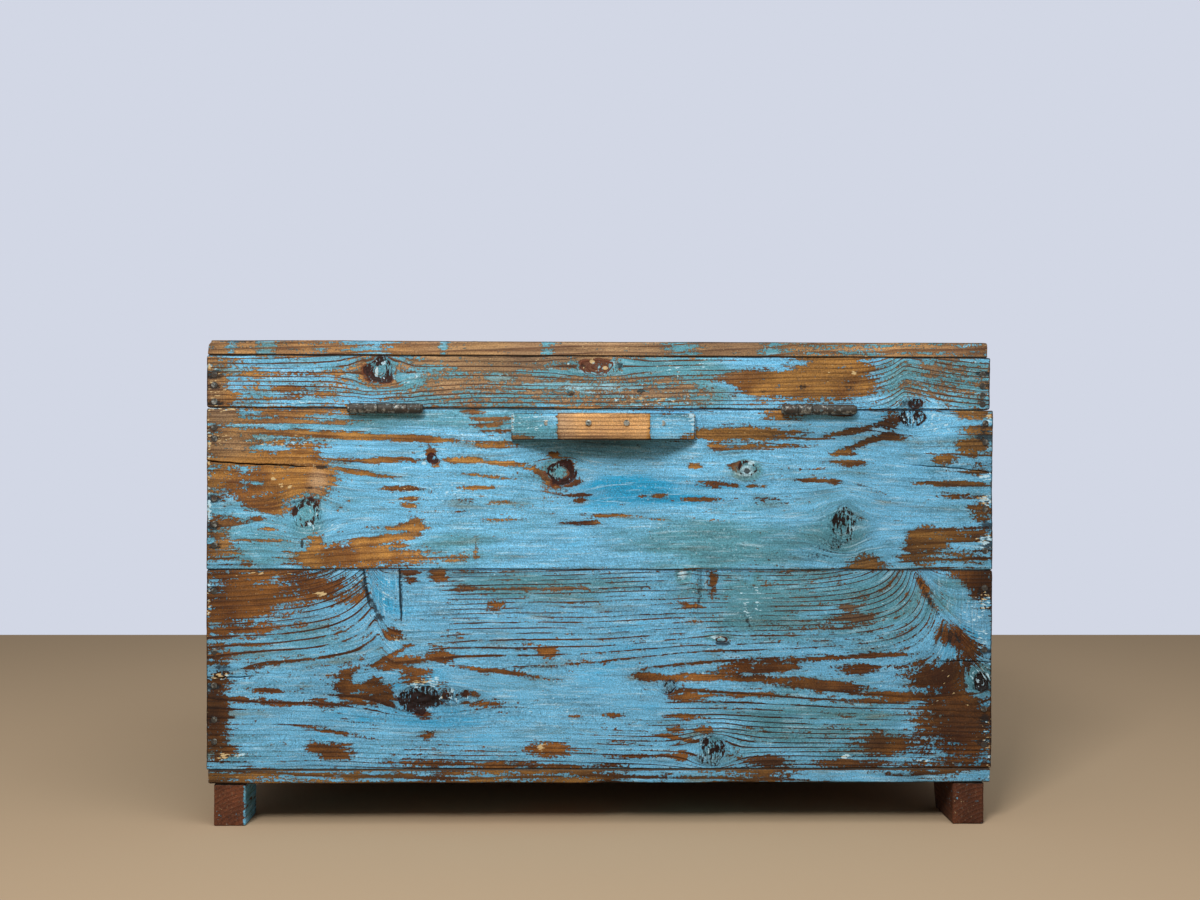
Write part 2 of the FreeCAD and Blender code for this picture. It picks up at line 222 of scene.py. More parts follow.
# Colours, as the photograph shows them
SKY = colour(114, 190, 232)
DEEP = colour(40, 158, 208)
TEAL = colour(92, 158, 176)
PALE = colour(192, 228, 244)
THIN_PAINT = colour(100, 118, 106)
DIRTY_PAINT = colour(50, 80, 90)
OCHRE = colour(150, 142, 100)
ORANGE_WOOD = colour(188, 136, 68)
BROWN_WOOD = colour(126, 82, 36)
GREY_WOOD = colour(154, 130, 102)
RED_WOOD = colour(108, 54, 34)
LATE_WOOD = colour(60, 30, 20)
MAROON = colour(52, 22, 22)
BLACK_WOOD = colour(24, 14, 16)
FRESH_WOOD = colour(214, 188, 138)
GRIME_AND_SHADE = colour(26, 22, 22)
REDDER_WOOD = (colour(184, 121, 54), colour(126, 75, 30))
FOOT_WOOD = (colour(120, 66, 38), colour(90, 48, 28), colour(70, 38, 24))
INSIDE_WOOD = (colour(196, 154, 102), colour(156, 114, 70), colour(120, 84, 52))
IRON = colour(66, 63, 58)
WORN_IRON = colour(146, 148, 142)
WORN_SCREW = colour(176, 176, 166)
RUST = colour(84, 52, 34)
PAINT_ON_IRON = colour(120, 160, 172)
FLOOR = colour(182, 158, 130)
WALL = colour(210, 215, 229)
ROOM_LIGHT = colour(236, 240, 246)

# Dry old wood and chalky paint shine less than varnish, whose level is 0.5
DRY_WOOD_SHINE = 0.25


def weathered_wood(name, light_wood=ORANGE_WOOD, dark_wood=BROWN_WOOD, late_wood=LATE_WOOD):
    """Softwood, brown with age, with what is left of its blue paint."""
    g = Graph(name)
    place = g.place()
    along = g.attribute("along")
    across = g.attribute("across")
    depth = g.attribute("depth")
    ring = g.attribute("ring")
    knot = g.attribute("knot")
    paint = g.attribute("paint")
    tone = g.attribute("tone")
    calm = g.attribute("calm")
    upright = g.step(g.attribute("upright"), 0.4, 0.6)

    def grain(long, wide, seed):
        """A place for noise that runs with the grain, at so many waves per metre."""
        return g.vector(along * long, across * wide, depth * wide + seed)

    def fibres(long, wide, seed, **more):
        """Noise that runs with the fibres, which stand upright beside a knot cut lengthwise."""
        lying = g.noise(grain(long, wide, seed), **more)
        standing = g.noise(g.vector(along * wide, across * long, seed + 1.0), **more)
        return lying + (standing - lying) * upright

    # Growth rings: soft early wood that ends in a hard dark line
    sway = g.noise(g.vector(along * 7, ring * 0.45, 0.0)) - 0.5
    count = ring + sway * 0.9
    turn = count.maths("FRACT", count)
    late = g.step(turn, 0.3, 0.85) * (1 - g.step(turn, 0.88, 1.0))
    breaks = g.noise(g.vector(along * 24, ring * 0.9, 8.0)) - 0.5
    bold = g.step(g.noise(g.vector(along * 5, ring * 0.9, 3.0)) + breaks * 0.9, 0.3, 0.52)
    thick = g.step(paint, 0.86, 1.1)
    ridge = g.step(turn, 0.66, 0.84) * (1 - g.step(turn, 0.92, 0.99))
    ridge = ridge * bold * (1 - thick) * (1 - calm)

    streak = fibres(15, 240, 9, detail=5.0, rough=0.6) - 0.5
    smear = g.noise(grain(60, 190, 4), detail=4.0, rough=0.6) - 0.5
    band = g.noise(grain(4, 45, 6)) - 0.5
    blotch = g.noise(grain(14, 60, 17), detail=5.0, rough=0.6) - 0.5
    fibre = fibres(26, 900, 5, detail=4.0, rough=0.65)
    hair = fibres(6, 380, 33, detail=2.0)
    flake = g.noise(place, scale=330.0, detail=4.0, rough=0.65) - 0.5
    speck = g.noise(place, scale=620.0, detail=2.0, rough=0.6) - 0.5
    cloud = g.noise(place, scale=11.0, detail=4.0, rough=0.55)

    def scales(long, wide, seed):
        """Paint breaks away in scales, each of which holds well or badly."""
        x = along * long + smear * 3.0
        y = across * wide + flake * 4.0
        inputs = {"Vector": g.vector(x, y, depth * wide + seed), "Scale": 1.0}
        return g.node("ShaderNodeTexVoronoi", None, inputs, output="Color") - 0.5

    # Paint that is left. It goes first from the hard ridges of the grain.
    left = paint - ridge * 0.75
    left = left + streak * 1.2 + smear * 1.1 + band * 0.5 + flake * 1.5
    left = left + scales(42, 200, 2.0) * 0.34 + scales(120, 420, 7.0) * 0.26
    core = g.step(knot, 0.35, 0.6)
    rim = g.step(knot, 0.03, 0.25)
    cracks = g.noise(place * (420, 420, 120), detail=3.0) - 0.5
    left = left + core * (cracks * 2.6 - 0.42)
    mask = g.step(left, 0.46, 0.54)

    wood = g.mix(g.step(cloud + streak * 0.3, 0.4, 0.62), light_wood, dark_wood)
    wood = g.mix(g.step(0 - tone, 0.1, 1.0) * 0.75, wood, GREY_WOOD)
    wood = g.mix(g.step(tone, 0.3, 1.0) * 0.6, wood, RED_WOOD)
    wood = g.mix(late * 0.35, wood, late_wood)
    wood = g.mix(g.step(fibre, 0.45, 0.72) * 0.55, wood, late_wood)
    wood = g.mix(g.step(hair, 0.56, 0.66) * 0.5, wood, late_wood)
    wood = g.mix(ridge * 0.85, wood, late_wood)
    wood = g.mix(g.step(left, 0.3, 0.46) * 0.45, wood, late_wood)
    wood = g.mix(g.step(flake, 0.06, 0.2) * 0.35, wood, GREY_WOOD)
    wood = g.mix(rim * 0.75, wood, RED_WOOD)
    wood = g.mix(core * 0.92, wood, g.mix(g.step(cracks, -0.06, 0.08), BLACK_WOOD, MAROON))

    hue = tone + (g.noise(place, scale=6.0, detail=3.0) - 0.5) * 1.6 + band * 0.8 + blotch * 2.0
    coat = g.mix(g.step(hue, -0.9, 0.15), TEAL, SKY)
    coat = g.mix(g.step(hue, 0.35, 1.1), coat, DEEP)
    coat = g.mix(g.step(0 - hue, 1.8, 2.8) * 0.8, coat, PALE)
    brush = fibres(24, 300, 14, detail=4.0, rough=0.65)
    coat = g.mix(g.step(brush, 0.52, 0.72) * 0.6, coat, PALE)
    coat = g.mix(g.step(fibre, 0.48, 0.7) * 0.5, coat, DIRTY_PAINT)
    coat = g.mix(g.step(streak, 0.02, 0.2) * 0.4, coat, DIRTY_PAINT)
    coat = g.mix(g.step(hair, 0.58, 0.68) * 0.3, coat, DIRTY_PAINT)
    coat = g.mix(ridge * 0.5, coat, DIRTY_PAINT)
    coat = g.mix((1 - g.step(left, 0.5, 0.75)) * 0.5, coat, THIN_PAINT)
    thin = g.step(0 - blotch + streak * 0.5 - band * 0.6, 0.1, 0.3) * (1 - thick * 0.7)
    coat = g.mix(thin * 0.45, coat, OCHRE)
    coat = g.mix(g.step(flake, 0.08, 0.2) * 0.6, coat, DIRTY_PAINT)
    coat = g.mix(g.step(0 - flake, 0.1, 0.2) * 0.5, coat, PALE)
    age_and_shade = g.attribute("age_and_shade")
    shown = g.mix(mask, g.scale(wood, 1 - age_and_shade * 0.8), coat)
    shown = g.scale(shown, 1.02 + speck * 2.0 + (fibre - 0.5) * 0.9 + blotch * 1.1)

    # Age darkens bare wood most, grime gathers in low places, and blows leave fresh chips.
    #     Age also carries painted shadow and shade from the boards' lists, and grime carries painted
    #     shade along the rims of the bare faces.
    shown = g.scale(shown, 1 - age_and_shade * 0.35)
    grime_and_shade = g.step(g.attribute("stain_and_shade") + streak * 1.6 + flake * 1.2, 0.35, 0.75)
    shown = g.mix(grime_and_shade * 0.85, shown, GRIME_AND_SHADE)
    fleck = g.noise(grain(150, 420, 21), detail=2.0) - 0.5
    fresh = g.step(g.attribute("chip") + fleck * 2.2 + flake * 0.8, 0.5, 0.62)
    shown = g.mix(fresh * 0.85, shown, g.mix(g.step(mask + core, 0.4, 0.6), FRESH_WOOD, PALE))

    height = mask * 0.0003 + late * 0.0002 + fibre * 0.0002 + flake * 0.0002 - grime_and_shade * 0.0003
    roughness = 0.64 - mask * 0.14 + (fibre - 0.5) * 0.2
    return g.surface(shown, roughness, height, Specular_IOR_Level=DRY_WOOD_SHINE)


def iron(name, dull=0.5, bright=WORN_IRON):
    """Blackened iron, worn bright in places, with flecks of the blue paint."""
    g = Graph(name)
    place = g.place()
    cloud = g.noise(place, scale=160.0, detail=5.0, rough=0.65)
    worn = g.step(cloud, dull, dull + 0.14)
    shade = g.mix(worn, IRON, bright)
    rust = g.step(g.noise(place, scale=90.0, detail=4.0), 0.55, 0.7)
    shade = g.mix(rust * 0.4, shade, RUST)
    fleck = g.step(g.noise(place, scale=330.0, detail=3.0), 0.62, 0.68)
    shade = g.mix(fleck * 0.5, shade, PAINT_ON_IRON)
    return g.surface(shade, 0.62 - worn * 0.2, cloud * 0.0008, Metallic=0.55)


# Carving


@dataclass
class Patch:
    """An oval on a board where something changes. Level is how much paint is left in it, or how
    much it adds of another kind of wear. Tilt is how far it falls to the right, per pixel, and
    lean how far it moves to the right as it goes down. Soft is the share of its size over which
    its rim fades, where that isn't the usual one."""

    right: float
    down: float
    wide: float
    high: float
    level: float
    tilt: float = 0.0
    lean: float = 0.0
    soft: float = 0.0

    def cover(self, right, down, soft):
        """How much of each place the oval covers, 0 to 1, fading over a share of its size."""
        soft = self.soft or soft
        across = right - self.right - self.lean * (down - self.down)
        fall = down - self.down - self.tilt * across
        return 1 - smooth(np.hypot(across / self.wide, fall / self.high), 1 - soft, 1 + soft)


@dataclass
class Knot:
    """A knot cut across. The grain flows round it. Heart is the share of it whose colour is not
    that of the dark rim."""

    right: float
    down: float
    wide: float
    high: float
    sink: float = 0.4 * MM
    dark: float = 1.0
    heart: float = 0.0


# How roundly the grain turns at a knot cut lengthwise, and from how far above to how far below
# the knot's end its climb fades, in pixels
ROUND_TIP = 3
SPIKE_FADES_ABOVE = 60
SPIKE_FADES_BELOW = 40


@dataclass
class Spike:
    """A knot cut lengthwise, to which the grain climbs from its left and right. It leans to the
    right. Its own fibres stand upright, as far to the right as it is wide, down to its foot."""

    right: float
    down: float
    climb: float
    reach_left: float
    reach_right: float
    end: float
    lean: float = 0.0
    wide: float = 0.0
    foot: float = 0.0

    def upright(self, right, down):
        """Where the knot's own upright fibres show, 0 to 1."""
        gap = right - self.right - (down - self.down) * self.lean
        inside = smooth(gap, -1, 1) * (1 - smooth(gap, self.wide - 1, self.wide + 1))
        return inside * (down < self.foot)


@dataclass
class Split:
    """A crack, from one place to another. It is widest at the first."""

    right: float
    down: float
    end_right: float
    end_down: float
    wide: float = 0.6
    deep: float = 3 * MM


@dataclass
class Looks:
    """What weather and use have left on one board. Paint and age are the whole board's, and the
    lists change them in places. Age also carries painted shadow and shade where a list puts them.
    Calm hides the ridges of the grain. Pith is where the heart of the log lay: its height over the
    middle of the board, its depth behind the face, and how the depth changes along the board.
    Ring is how wide a year's growth is."""

    paint: float = 0.75
    patches: list = field(default_factory=list)
    tones: list = field(default_factory=list)
    aged_and_shaded: list = field(default_factory=list)
    stains: list = field(default_factory=list)
    chips: list = field(default_factory=list)
    calm: list = field(default_factory=list)
    knots: list = field(default_factory=list)
    spikes: list = field(default_factory=list)
    splits: list = field(default_factory=list)
    notches: list = field(default_factory=list)
    pith: tuple = (0.0, 0.06, 0.0)
    ring: float = 5.4 * MM
    age_and_shade: float = 0.0


# How closely grid lines lie: on a plain board, through it, at its edges, at knots and at splits
PLAIN_SPACING = 6 * MM
SPACING_THROUGH = 6 * MM
ACROSS_SHARE = 0.8
EDGE_STEPS = np.array([0, 0.3, 0.6, 1.0, 1.5, 2.1, 3.0, 4.2, 6.0]) * MM
KNOT_STEP = 1.8 * MM
KNOT_REACH = 1.1
SPLIT_STEP = 0.4 * MM
BESIDE_SPLIT = 1.5 * MM
LEAST_STEP = 0.24 * MM


def grid_lines(low, high, spacing, fine=()):
    """Where the grid lines lie from low to high, closer at both ends and at the fine places."""
    steps = EDGE_STEPS[EDGE_STEPS < (high - low) / 2]
    count = max(2, round((high - low) / spacing))
    inner = np.linspace(low + EDGE_STEPS[-1], high - EDGE_STEPS[-1], count)
    places = [low + steps, high - steps, inner]
    for middle, reach, step in fine:
        places.append(np.arange(middle - reach, middle + reach + step / 2, step))
    places = np.unique(np.concatenate(places))
    places = places[(places >= low) & (places <= high)]
    kept = [low]
    for value in places[1:]:
        if value - kept[-1] > LEAST_STEP:
            kept.append(value)
    kept[-1] = high
    return np.array(kept)


def box_grid(*axes):
    """Points and quads of a closed box surface over three sets of grid lines."""
    shape = tuple(len(lines) for lines in axes)
    skin = np.zeros(shape, bool)
    for axis in range(3):
        for end in (0, -1):
            index = [slice(None)] * 3
            index[axis] = end
            skin[tuple(index)] = True
    number = np.full(shape, -1)
    number[skin] = np.arange(skin.sum())
    places = np.nonzero(skin)
    points = np.stack([lines[at] for lines, at in zip(axes, places)], 1)
    quads = []
    for axis in range(3):
        for end in (0, -1):
            face = np.take(number, end, axis=axis)
            corners = [face[:-1, :-1], face[1:, :-1], face[1:, 1:], face[:-1, 1:]]
            found = np.stack(corners, -1).reshape(-1, 4)
            backwards = (axis == 1) != (end == 0)
            quads.append(found[:, ::-1] if backwards else found)
    return points, np.concatenate(quads)


def build_mesh(name, points, quads, values):
    """A smooth mesh with one float attribute for each named value."""
    mesh = bpy.data.meshes.new(name)
    mesh.vertices.add(len(points))
    mesh.vertices.foreach_set("co", points.astype(np.float32).ravel())
    mesh.loops.add(quads.size)
    mesh.loops.foreach_set("vertex_index", quads.astype(np.int32).ravel())
    mesh.polygons.add(len(quads))
    mesh.polygons.foreach_set("loop_start", np.arange(0, quads.size, 4, dtype=np.int32))
    mesh.polygons.foreach_set("use_smooth", np.ones(len(quads), bool))
    mesh.update(calc_edges=True)
    for key, value in values.items():
        mesh.attributes.new(key, "FLOAT", "POINT").data.foreach_set("value", value.astype(np.float32))
    return mesh


# The longest waves along, across and through a board, in metres, of what is uneven on it
EDGE_WAVES = np.array([0.12, 0.12, 0.12])
NIBBLE_WAVES = np.array([0.03, 0.02, 0.03])
WEAR_WAVES = np.array([0.3, 0.06, 0.3])
KNOT_WAVES = np.array([0.012, 0.012, 0.02])
KNOT_RIM_WAVES = np.array([0.025, 0.025, 0.1])
GRAIN_WAVES = np.array([0.5, 0.35, 1.0])

# How the edges are rounded, at least and in general, and how near an end counts as the end
ROUNDING = 2 * MM
LEAST_ROUNDING = 0.3 * MM
END_REACH = 8 * MM

# How far the main face is worn down, and the part of the thickness over which that fades out
WORN_DOWN = 0.35 * MM
WEAR_STARTS = 0.6

# How far from the bare face the paint starts, and how deep the main face's own marks reach
BARE_TO_PAINTED = (0.5 * MM, 2 * MM)
FACE_DEPTH = 2 * MM

# From where to where, inwards from an edge, the worn paint and the grime fade out. At the rims
# # of the bare face this darkening is painted shade as well as grime.
WORN_PAINT_AT_EDGE = (0.5 * MM, 4 * MM)
GRIME_AT_EDGE = (0.3 * MM, 2.1 * MM)
SHADE_AND_GRIME_AT_BARE_EDGE = (0.5 * MM, 2.5 * MM)

# How far the grain wanders, how much wider the rings of a knot lie, and the shift between the
# noise of one board and the next
WANDER_IN_MM = 2.2
KNOT_RINGS = 1.5
BOARD_SHIFT = 3.7


class Board:
    """A board carved from its node's box.

    Along and out are axis numbers: the way the grain runs, and the axis of the main face, which
    looks to side -1 or 1 of it. Picture places are pixels of the photograph on the photographed
    side, and elsewhere steps of the same size from the middle of the main face. Bare is the axis
    and side of the face without paint, which is the one behind the main face if it isn't given.
    """

    def __init__(
        self,
        node,
        along,
        out,
        side,
        looks,
        seed,
        photographed=False,
        spacing=PLAIN_SPACING,
        bare=None,
        shape=None,
    ):
        self.node = node
        self.along = along
        self.out = out
        self.across = 3 - along - out
        self.side = side
        self.looks = looks
        self.seed = seed
        self.photographed = photographed
        self.spacing = spacing
        self.bare_axis, self.bare_side = bare or (out, -side)
        self.shape = shape
        self.low, self.high = (np.array(corner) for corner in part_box(node))
        ends = (self.low[out] * side, self.high[out] * side)
        self.span = np.array(
            [
                (self.low[along], self.high[along]),
                (self.low[self.across], self.high[self.across]),
                sorted(ends),
            ]
        )

    def world(self, points):
        """Board places (along, across, out) as places in the frame."""
        turned = np.zeros_like(points)
        turned[:, self.along] = points[:, 0]
        turned[:, self.across] = points[:, 1]
        turned[:, self.out] = points[:, 2] * self.side
        return turned

    def picture(self, points):
        """Picture places of points on the board."""
        if self.photographed:
            flat = points.copy()
            flat[:, 2] = -rear_face
            return photo_pixels(self.world(flat))
        middle = self.span.mean(axis=1)
        return (points[:, 0] - middle[0]) / PIXEL, (middle[1] - points[:, 1]) / PIXEL

    def board_place(self, right, down):
        """Where a picture place lies along and across the board."""
        middle = self.span.mean(axis=1)
        if not self.photographed:
            return middle[0] + right * PIXEL, middle[1] - down * PIXEL
        ray = camera_matrix.to_3x3() @ Vector(
            ((right - PHOTO_WIDE / 2) / FOCAL_PIXELS, (PHOTO_HIGH / 2 - down) / FOCAL_PIXELS, -1)
        )
        hit = CAMERA_PLACE + ray * ((rear_face - CAMERA_PLACE.y) / ray.y)
        return hit.x, hit.z

    def grid(self):
        """The board's surface as points and quads, finer at its edges, knots and splits."""
        along_fine = []
        across_fine = []
        for knot in self.looks.knots:
            x, z = self.board_place(knot.right, knot.down)
            along_fine.append((x, knot.wide * PIXEL * KNOT_REACH, KNOT_STEP))
            across_fine.append((z, knot.high * PIXEL * KNOT_REACH, KNOT_STEP))
        for split in self.looks.splits:
            middle = ((split.right + split.end_right) / 2, (split.down + split.end_down) / 2)
            x, z = self.board_place(*middle)
            wide = abs(split.end_right - split.right)
            high = abs(split.end_down - split.down)
            if wide > high:
                across_fine.append((z, high * PIXEL / 2 + BESIDE_SPLIT, SPLIT_STEP))
            else:
                along_fine.append((x, wide * PIXEL / 2 + BESIDE_SPLIT, SPLIT_STEP))
        return box_grid(
            grid_lines(*self.span[0], self.spacing, along_fine),
            grid_lines(*self.span[1], self.spacing * ACROSS_SHARE, across_fine),
            grid_lines(*self.span[2], SPACING_THROUGH),
        )

    def grain(self, points, right, down):
        """How the grain lies: along it, across it, the count of rings, and the knots."""
        looks = self.looks
        flow = np.zeros(len(points))
        upright = np.zeros(len(points))
        knot_cover = np.zeros(len(points))
        knot_ring = np.zeros(len(points))
        in_knot = np.zeros(len(points), bool)
        ragged = 1 + 0.2 * ripples(points, KNOT_RIM_WAVES, self.seed + 5)
        for knot in looks.knots:
            beside = (right - knot.right) / knot.wide
            under = (down - knot.down) / knot.high
            away = np.hypot(beside, under) * ragged
            reach = np.maximum(np.hypot(beside * 0.55, under), 0.01)
            flow += under * knot.high * np.minimum(1.0, 1.1 / reach**2) * np.exp(-away / 3)
            rim = (1 - smooth(away, 0.75, 1.2)) * knot.dark
            if knot.heart:
                rim = rim * smooth(away, knot.heart * 0.7, knot.heart * 1.1)
            knot_cover = np.maximum(knot_cover, rim)
            knot_ring[away < 1] = (away * knot.high)[away < 1] * PIXEL * KNOT_RINGS
            in_knot |= away < 1
        for spike in looks.spikes:
            upright = np.maximum(upright, spike.upright(right, down))
            gap = right - spike.right - (down - spike.down) * spike.lean
            reach = np.where(gap < 0, spike.reach_left, spike.reach_right)
            climb = spike.climb * np.exp((ROUND_TIP - np.hypot(gap, ROUND_TIP)) / reach)
            fade = smooth(down, spike.end - SPIKE_FADES_ABOVE, spike.end + SPIKE_FADES_BELOW)
            flow -= climb * (1 - fade)
        pith_height, pith_depth, pith_lean = looks.pith
        middle = self.span.mean(axis=1)
        wander = ripples(points, GRAIN_WAVES, self.seed) * WANDER_IN_MM * MM
        across = points[:, 1] + flow * PIXEL + wander
        height = across - middle[1] - pith_height
        depth = points[:, 2] - self.span[2, 1] + pith_depth + pith_lean * (points[:, 0] - middle[0])
        ring = np.where(in_knot, knot_ring, np.hypot(height, depth)) / looks.ring
        along = points[:, 0] + BOARD_SHIFT * self.seed
        return {
            "along": along,
            "across": across,
            "depth": points[:, 2],
            "ring": ring,
            "knot": knot_cover,
            "upright": upright,
        }

    def crack(self, split, right, down):
        """How deep a split cuts at each point."""
        run = np.array([split.end_right - split.right, split.end_down - split.down])
        length = np.hypot(*run)
        run = run / length
        along = (right - split.right) * run[0] + (down - split.down) * run[1]
        off = -(right - split.right) * run[1] + (down - split.down) * run[0]
        off = off + 0.4 * np.sin(along / 11 + self.seed) + 0.25 * np.sin(along / 3.1)
        closing = smooth(along, -1, 1) * (1 - smooth(along, length * 0.6, length))
        return split.deep * closing * np.exp(-((off / split.wide) ** 2))

    def carve(self, points, right, down):
        """Rounds and chips the edges and wears the main face down."""
        low, high = self.span[:, 0], self.span[:, 1]
        radius = ROUNDING * (1 + 0.55 * ripples(points, EDGE_WAVES, self.seed + 1))
        outer = smooth(points[:, 2], low[2], high[2])
        radius = radius * (0.7 + 0.5 * outer)
        at_end = np.minimum(points[:, 0] - low[0], high[0] - points[:, 0]) < END_REACH
        nibble = np.abs(ripples(points, NIBBLE_WAVES, self.seed + 2, 4))
        radius = radius + np.where(at_end, nibble * ROUNDING * 0.7, 0)
        for notch in self.looks.notches:
            radius = radius + notch.level * notch.cover(right, down, 0.3) * outer
        radius = np.clip(radius, LEAST_ROUNDING, (high - low).min() * 0.45)[:, None]
        core = np.clip(points, low + radius, high - radius)
        arm = points - core
        length = np.linalg.norm(arm, axis=1, keepdims=True)
        shaped = core + arm / np.maximum(length, 1e-9) * np.minimum(radius, length)
        sink = WORN_DOWN * (1 + ripples(points, WEAR_WAVES, self.seed + 3))
        for knot in self.looks.knots:
            away = np.hypot((right - knot.right) / knot.wide, (down - knot.down) / knot.high)
            rough = 1 + 0.7 * ripples(points, KNOT_WAVES, self.seed + 4)
            sink = sink + knot.sink * (1 - smooth(away, 0.7, 1.1)) * rough
        for split in self.looks.splits:
            sink = sink + self.crack(split, right, down)
        wear_starts = low[2] + (high[2] - low[2]) * WEAR_STARTS
        shaped[:, 2] -= smooth(points[:, 2], wear_starts, high[2]) * sink
        if self.shape:
            shaped = self.shape(shaped, low, high)
        return np.clip(shaped, low, high)

    def wear(self, points, right, down):
        """Paint, tone, age and grime, both with painted shade in places, and chips at each point."""
        looks = self.looks
        world = self.world(points)[:, self.bare_axis]
        bare_place = (self.low, self.high)[self.bare_side > 0][self.bare_axis]
        painted = smooth(np.abs(world - bare_place), *BARE_TO_PAINTED)
        paint = np.full(len(points), looks.paint)
        for patch in looks.patches:
            paint += (patch.level - paint) * patch.cover(right, down, 0.8)
        paint = paint * painted - (1 - painted)
        flat = points[:, :2]
        edge = np.minimum(flat - self.span[:2, 0], self.span[:2, 1] - flat).min(axis=1)
        on_face = smooth(points[:, 2], self.span[2, 1] - FACE_DEPTH, self.span[2, 1])
        paint -= 0.25 * on_face * (1 - smooth(edge, *WORN_PAINT_AT_EDGE))
        values = {"paint": paint}
        for key, patches, soft in (
            ("tone", looks.tones, 1.0),
            ("age_and_shade", looks.aged_and_shaded, 1.0),
            ("stain_and_shade", looks.stains, 0.6),
            ("chip", looks.chips, 0.6),
            ("calm", looks.calm, 1.0),
        ):
            total = np.zeros(len(points))
            for patch in patches:
                total += patch.level * patch.cover(right, down, soft)
            values[key] = total * painted
        values["age_and_shade"] += looks.age_and_shade * painted
        values["tone"] -= (1 - painted) * 0.9
        values["stain_and_shade"] += 0.85 * on_face * (1 - smooth(edge, *GRIME_AT_EDGE))
        # Painted shade, with grime, along the rims of the bare face, so that a rounded edge that
        # catches the light reads as a dark gap
        values["stain_and_shade"] += 1.2 * (1 - painted) * (1 - smooth(edge, *SHADE_AND_GRIME_AT_BARE_EDGE))
        for split in looks.splits:
            values["stain_and_shade"] += np.minimum(self.crack(split, right, down) / FACE_DEPTH, 1)
        return values

    def build(self, finish):
        """Makes the board's mesh and puts it in its node's place."""
        points, quads = self.grid()
        right, down = self.picture(points)
        values = {**self.grain(points, right, down), **self.wear(points, right, down)}
        shaped = self.world(self.carve(points, right, down))
        if np.linalg.det(self.world(np.eye(3))) < 0:
            quads = quads[:, ::-1]
        name = self.node + "_wood"
        piece = bpy.data.objects.new(name, build_mesh(name, shaped, quads, values))
        bpy.context.collection.objects.link(piece)
        piece.data.materials.append(finish)
        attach(piece, body_of[self.node])
        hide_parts(self.node)


# The body on which each node rides
body_of = {
    node: body
    for body, nodes in frame["record"]["behaviour"]["bodies"].items()
    for node in nodes
}

# Nails in the photographed side, in the pixels of the photograph
LEFT_NAILS_RIGHT = 214
RIGHT_NAILS_RIGHT = 985
RAIL_NAILS_DOWN = (375, 386, 403)
UPPER_NAILS_DOWN = (428, 438, 499, 525, 546)
LOWER_NAILS_DOWN = (591, 652, 686, 720, 742)


def nail_stains(rows, seed):
    """Rust that runs into the wood round each nail head, along the grain."""
    rng = np.random.default_rng(seed)
    return [
        Patch(right, down, rng.uniform(6, 11), rng.uniform(3, 6), rng.uniform(0.35, 0.8))
        for right in (LEFT_NAILS_RIGHT, RIGHT_NAILS_RIGHT)
        for down in rows
    ]


def strip(left, right, down, high, level, tilt=0.0, soft=0.0):
    """A long low patch from left to right."""
    return Patch((left + right) / 2, down, (right - left) / 2, high, level, tilt, soft=soft)


# The upper board of the photographed side
worn_under_lid = [
    strip(204, 240, 416, 7, 0.1),
    strip(228, 352, 412.5, 4.4, 0.1),
    strip(234, 264, 412, 2, 0.95),
    strip(205, 340, 421.5, 2.6, 0.2),
    strip(318, 352, 423, 2.6, 0.2),
    strip(205, 445, 435, 3.8, 0.05, 0.046),
    strip(236, 330, 443, 3, 0.35, 0.03),
    strip(392, 448, 438.5, 3.4, 0.08, 0.06),
    strip(204, 252, 445, 15, 0.1),
    strip(252, 284, 455, 5, 0.2),
    strip(282, 318, 453, 7, 0.12),
    strip(462, 482, 412, 2.4, 0.2),
    strip(468, 514, 419, 2.6, 0.2),
    strip(470, 506, 425, 2, 0.3),
    strip(478, 514, 431, 2.4, 0.2),
    strip(474, 514, 445, 3.6, 0.15),
    strip(766, 797, 415, 4.6, 0.15),
    strip(835, 852, 414, 3, 0.2),
    strip(702, 732, 435, 5, 0.2),
    strip(710, 730, 447.5, 4.6, 0.12),
]
bare_round_long_split = [
    strip(204, 332, 460.5, 6, 0.05),
    strip(236, 320, 481, 19, 0.02),
    strip(300, 334, 478, 13, 0.1),
    strip(232, 292, 504, 9, 0.12, 0.2),
    strip(232, 252, 469, 3, 0.85),
    strip(238, 262, 484, 2.4, 0.8),
    strip(204, 236, 482, 14, 0.2),
    strip(334, 402, 474, 2.2, 0.2, 0.14),
    strip(318, 426, 556, 11, 0.05),
    strip(352, 382, 541, 4, 0.12),
    strip(380, 418, 537, 3.6, 0.15),
    strip(292, 345, 558, 8, 0.08),
    strip(308, 324, 542, 9, 0.2),
    strip(204, 242, 521, 7, 0.15),
    strip(204, 230, 536, 5, 0.3),
    strip(248, 264, 518, 2.6, 0.25),
    strip(258, 278, 529, 2.2, 0.3),
    strip(238, 254, 563, 3.4, 0.25),
    strip(204, 236, 552, 9, 0.2),
    strip(232, 300, 541, 2.4, 0.35),
]
